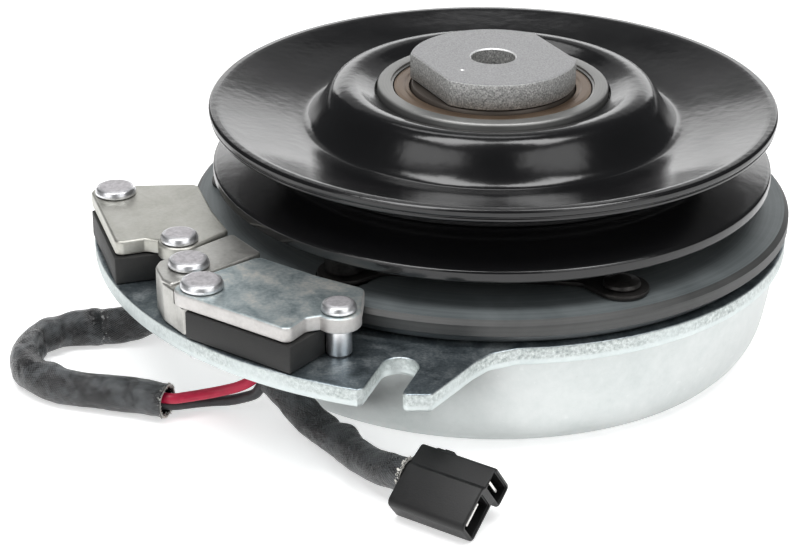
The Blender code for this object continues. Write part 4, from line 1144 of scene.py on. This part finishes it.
def make_field():
    outside = smooth([(78.0, 24), (77.6, 20), (76.9, 15), (75.6, 8.4), (73.6, 4.0), (71.2, 1.2)], 5)
    wall = [(78.0, 26.5, 0.3), *(tuple(p) for p in outside), (68.6, 0.0, 1.2), (39.3, 0.0, 0.4)]
    wall += [(39.3, 2.8, 0.3), (67.2, 2.8, 1.0), (70.4, 4.6, 1.5), (74.0, 14.0, 4.0)]
    wall += [(75.0, 22.0, 1.0), (75.4, 26.5, 0.3)]
    cup = turned_piece("cup", wall, "bright_zinc", "field", "field_cup")
    hole = lathe_shape([(0, -20), (6.3, -20), (6.3, 20), (0, 20)], 64)
    place = Matrix.Translation(Vector((*polar(78.0, LEAD_ANGLE), LEAD_HEIGHT)) * MM)
    tilt = Matrix.Rotation(radians(LEAD_ANGLE), 4, "Z") @ Matrix.Rotation(radians(90), 4, "Y")
    bmesh.ops.transform(hole, matrix=place @ tilt, verts=hole.verts)
    cut(cup, hole)
    grommet = [
        (0, 80.4), (4.6, 80.4, 0.2), (5.4, 80.4, 0.4), (7.4, 79.6, 0.7), (7.8, 78.1, 0.3), (5.9, 78.1),
        (5.9, 73.9, 0.3), (0, 73.9)
    ]
    plug = loose_piece("grommet", lathe_shape(rounded(grommet, 4), 48), "rubber")
    plug.data.transform(Matrix.Translation((0, 0, LEAD_HEIGHT * MM)) @ tilt)
    settle(plug, "field", "lead_grommet")
    core = [(39.0, 25.6, 0.4), (39.0, 0.0, 0.8), (28.0, 0.0, 0.5), (28.0, 3.2, 0.2)]
    core += [(31.3, 3.2, 0.2), (31.3, 25.6, 0.4)]
    turned_piece("core", core, "sintered_steel", "field", "field_core")
    clip = arc((0, 0), 20.6, -164, 164, 60) + arc((0, 0), 16.8, 160, -160, 60)
    holes = [circle(polar(18.7, t), 0.8, 16) for t in (-155, 155)]
    shape = plate_shape(clip, holes, 2.2, 2.8, 0.1)
    finish_piece("snap_ring", shape, "spring_steel", "rotor_body", "shaft_snap_ring")


def mounting_outline():
    """The round plate with its brake lobe, open slot and hook, anticlockwise from the hook."""
    away = Vector(polar(1, SLOT_ANGLE))
    across = Vector((-away.y, away.x))
    end = Vector(SLOT_END)
    left_mouth = end - across * SLOT_HALF + away * 13.3
    right_mouth = end + across * SLOT_HALF + away * 14.2
    corners = arc((0, 0), PLATE_RADIUS, -84.5, 165.5, 110)
    corners += [(*polar(PLATE_RADIUS, 171.5), 8), (*polar(LOBE_RADIUS, 173.5), 9)]
    corners += arc((0, 0), LOBE_RADIUS, 181.5, 253.6, 60)
    corners += [(*left_mouth, 1.6)]
    corners += arc(end, SLOT_HALF, SLOT_ANGLE - 90, SLOT_ANGLE - 270, 20)
    corners += [(*(right_mouth - away * 0.6), 1.5)]
    corners += [(-13.0, -105.2, 1.6), (-7.3, -95.6, 4), (-3.3, -88.7, 6), (0.8, -83.4, 5)]
    return rounded(corners, 6)


def rivet_places():
    return {
        "right_long": LONG_RIVET, "right_short": SHORT_RIVET,
        "left_long": turned_about(LONG_RIVET, UNIT_TURN),
        "left_short": turned_about(SHORT_RIVET, UNIT_TURN), "centre": CENTRE_RIVET
    }


def make_mounting_plate():
    holes = [circle((0, 0), 75.5, LATHE_STEPS)]
    holes += [circle(p, RIVET_HOLE, 24) for p in rivet_places().values()]
    shape = plate_shape(mounting_outline(), holes, *PLATE, 0.5, 1.2, 6)
    finish_piece("plate", shape, "plate_zinc", "field", "mounting_plate")


def shoe_outline():
    corners = [(-58.2, -54.6, 2.5), (-69.3, -64.9, 3), (-77.3, -72.4, 4.5), (-77.0, -76.4, 3.5)]
    corners += [(-47.3, -96.0, 2), (-43.6, -89.4, 1.5)]
    corners += arc(SHORT_RIVET, 5.6, -140, 15, 18)
    corners += [(-30.4, -71.9, 2.5), (-42.6, -65.2, 12)]
    return rounded(corners, 8)


def magnet_outline():
    along = Vector(polar(1, -33.7))
    inward = Vector((-along.y, along.x))
    corner = Vector((-74.1, -79.0))
    far = corner + along * 32.7
    block = [(*corner, 0.4), (*far, 0.4), (*(far + inward * 13.5), 0.2)]
    block += [(*(far - along * 1.5 + inward * 15.0), 0.2), (*(corner + along * 6.0 + inward * 15.0), 0.3)]
    return rounded(block + arc(LONG_RIVET, 5.2, 20, -128, 14), 3)


def bracket_outlines():
    foot = [(-74.8, -77.6), (-80.6, -70.0, 6), (-83.6, -62.0, 5), (-83.1, -58.8, 1.5)]
    foot += [(-72.6, -48.0, 1), (-63.6, -58.4, 0.8), (-65.2, -68.5, 3)]
    foot += arc(LONG_RIVET, 4.6, 10, -120, 14)
    top = [(-66.3, -40.9, 1.2), (-82.9, -58.6, 1.5), (-83.6, -62.0, 5), (-80.9, -69.2, 2)]
    top += [(-78.2, -72.0, 0.8), (-69.5, -64.2, 3), (-57.8, -52.3, 1.2)]
    return rounded(foot, 5), rounded(top, 6)


def turned_points(points, turn):
    return [turned_about(p, turn) for p in points]


def make_brake():
    for side, turn, zinc in (("right", 0, "brake_zinc"), ("left", UNIT_TURN, "brake_zinc_warm")):
        holes = [turned_points(circle(p, RIVET_HOLE, 24), turn) for p in (LONG_RIVET, SHORT_RIVET)]
        shape = plate_shape(turned_points(shoe_outline(), turn), holes, *SHOES, 0.7, 0.4, 5)
        finish_piece(f"shoe_{side}", shape, zinc, "field", f"brake_plate_{side}")
        shape = plate_shape(turned_points(magnet_outline(), turn), [], *MAGNETS, 0.25, 0.25, 2)
        finish_piece(f"magnet_{side}", shape, "magnet_ferrite", "field", f"brake_magnet_{side}")
    foot, top = bracket_outlines()
    bracket = loose_piece("bracket", plate_shape(foot, [], 32.1, 42.5, 0.5, 0.3), "bracket_zinc")
    for turn in (0, UNIT_TURN):
        room = turned_points(inset(shoe_outline(), -0.25), turn)
        cut(bracket, plate_shape(room, [], 39.1, 50, 0.02))
    cut(bracket, plate_shape(top, [], *SHOES, 0.6, 0.3, 5), "UNION")
    for post in (LONG_RIVET, CENTRE_RIVET):
        cut(bracket, plate_shape(circle(post, 3.5, 32), [], 30, 50, 0.02))
    settle(bracket, "field", "brake_bracket")
    for name, place in rivet_places().items():
        head = RIVET_HEADS[name]
        profile = [
            (0, 45.55), (head - 1.5, 45.6, 0.6), (head - 0.45, 45.25, 0.7), (head - 0.05, 44.3, 0.5),
            (head, 43.75, 0.15), (head - 0.1, 43.6), (2.5, 43.6), (2.5, 39.1), (3.2, 39.1, 0.15),
            (3.2, 32.1, 0.15), (2.5, 32.1), (2.5, 26.5), (4.4, 26.5, 0.2), (3.9, 25.0, 0.5), (0, 24.8)
        ]
        node = f"brake_rivet_{name}"
        turned_piece(f"rivet_{name}", profile, "rivet_steel", "field", node, PIN_STEPS, place)


def dress_kept_nodes(nodes):
    """Gives each CAD node that is still shown the finish of its own slot."""
    for node in nodes.values():
        if not node.hide_render:
            for slot in node.material_slots:
                slot.material = LOOKS[slot.material.name.split(".")[0]]


def main():
    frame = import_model()
    make_camera()
    make_looks()
    make_lead()
    make_pulley()
    make_bearings()
    make_hub()
    make_rotor()
    make_armature()
    make_field()
    make_mounting_plate()
    make_brake()
    dress_kept_nodes(frame["nodes"])
    make_floor()
    make_light()


main()
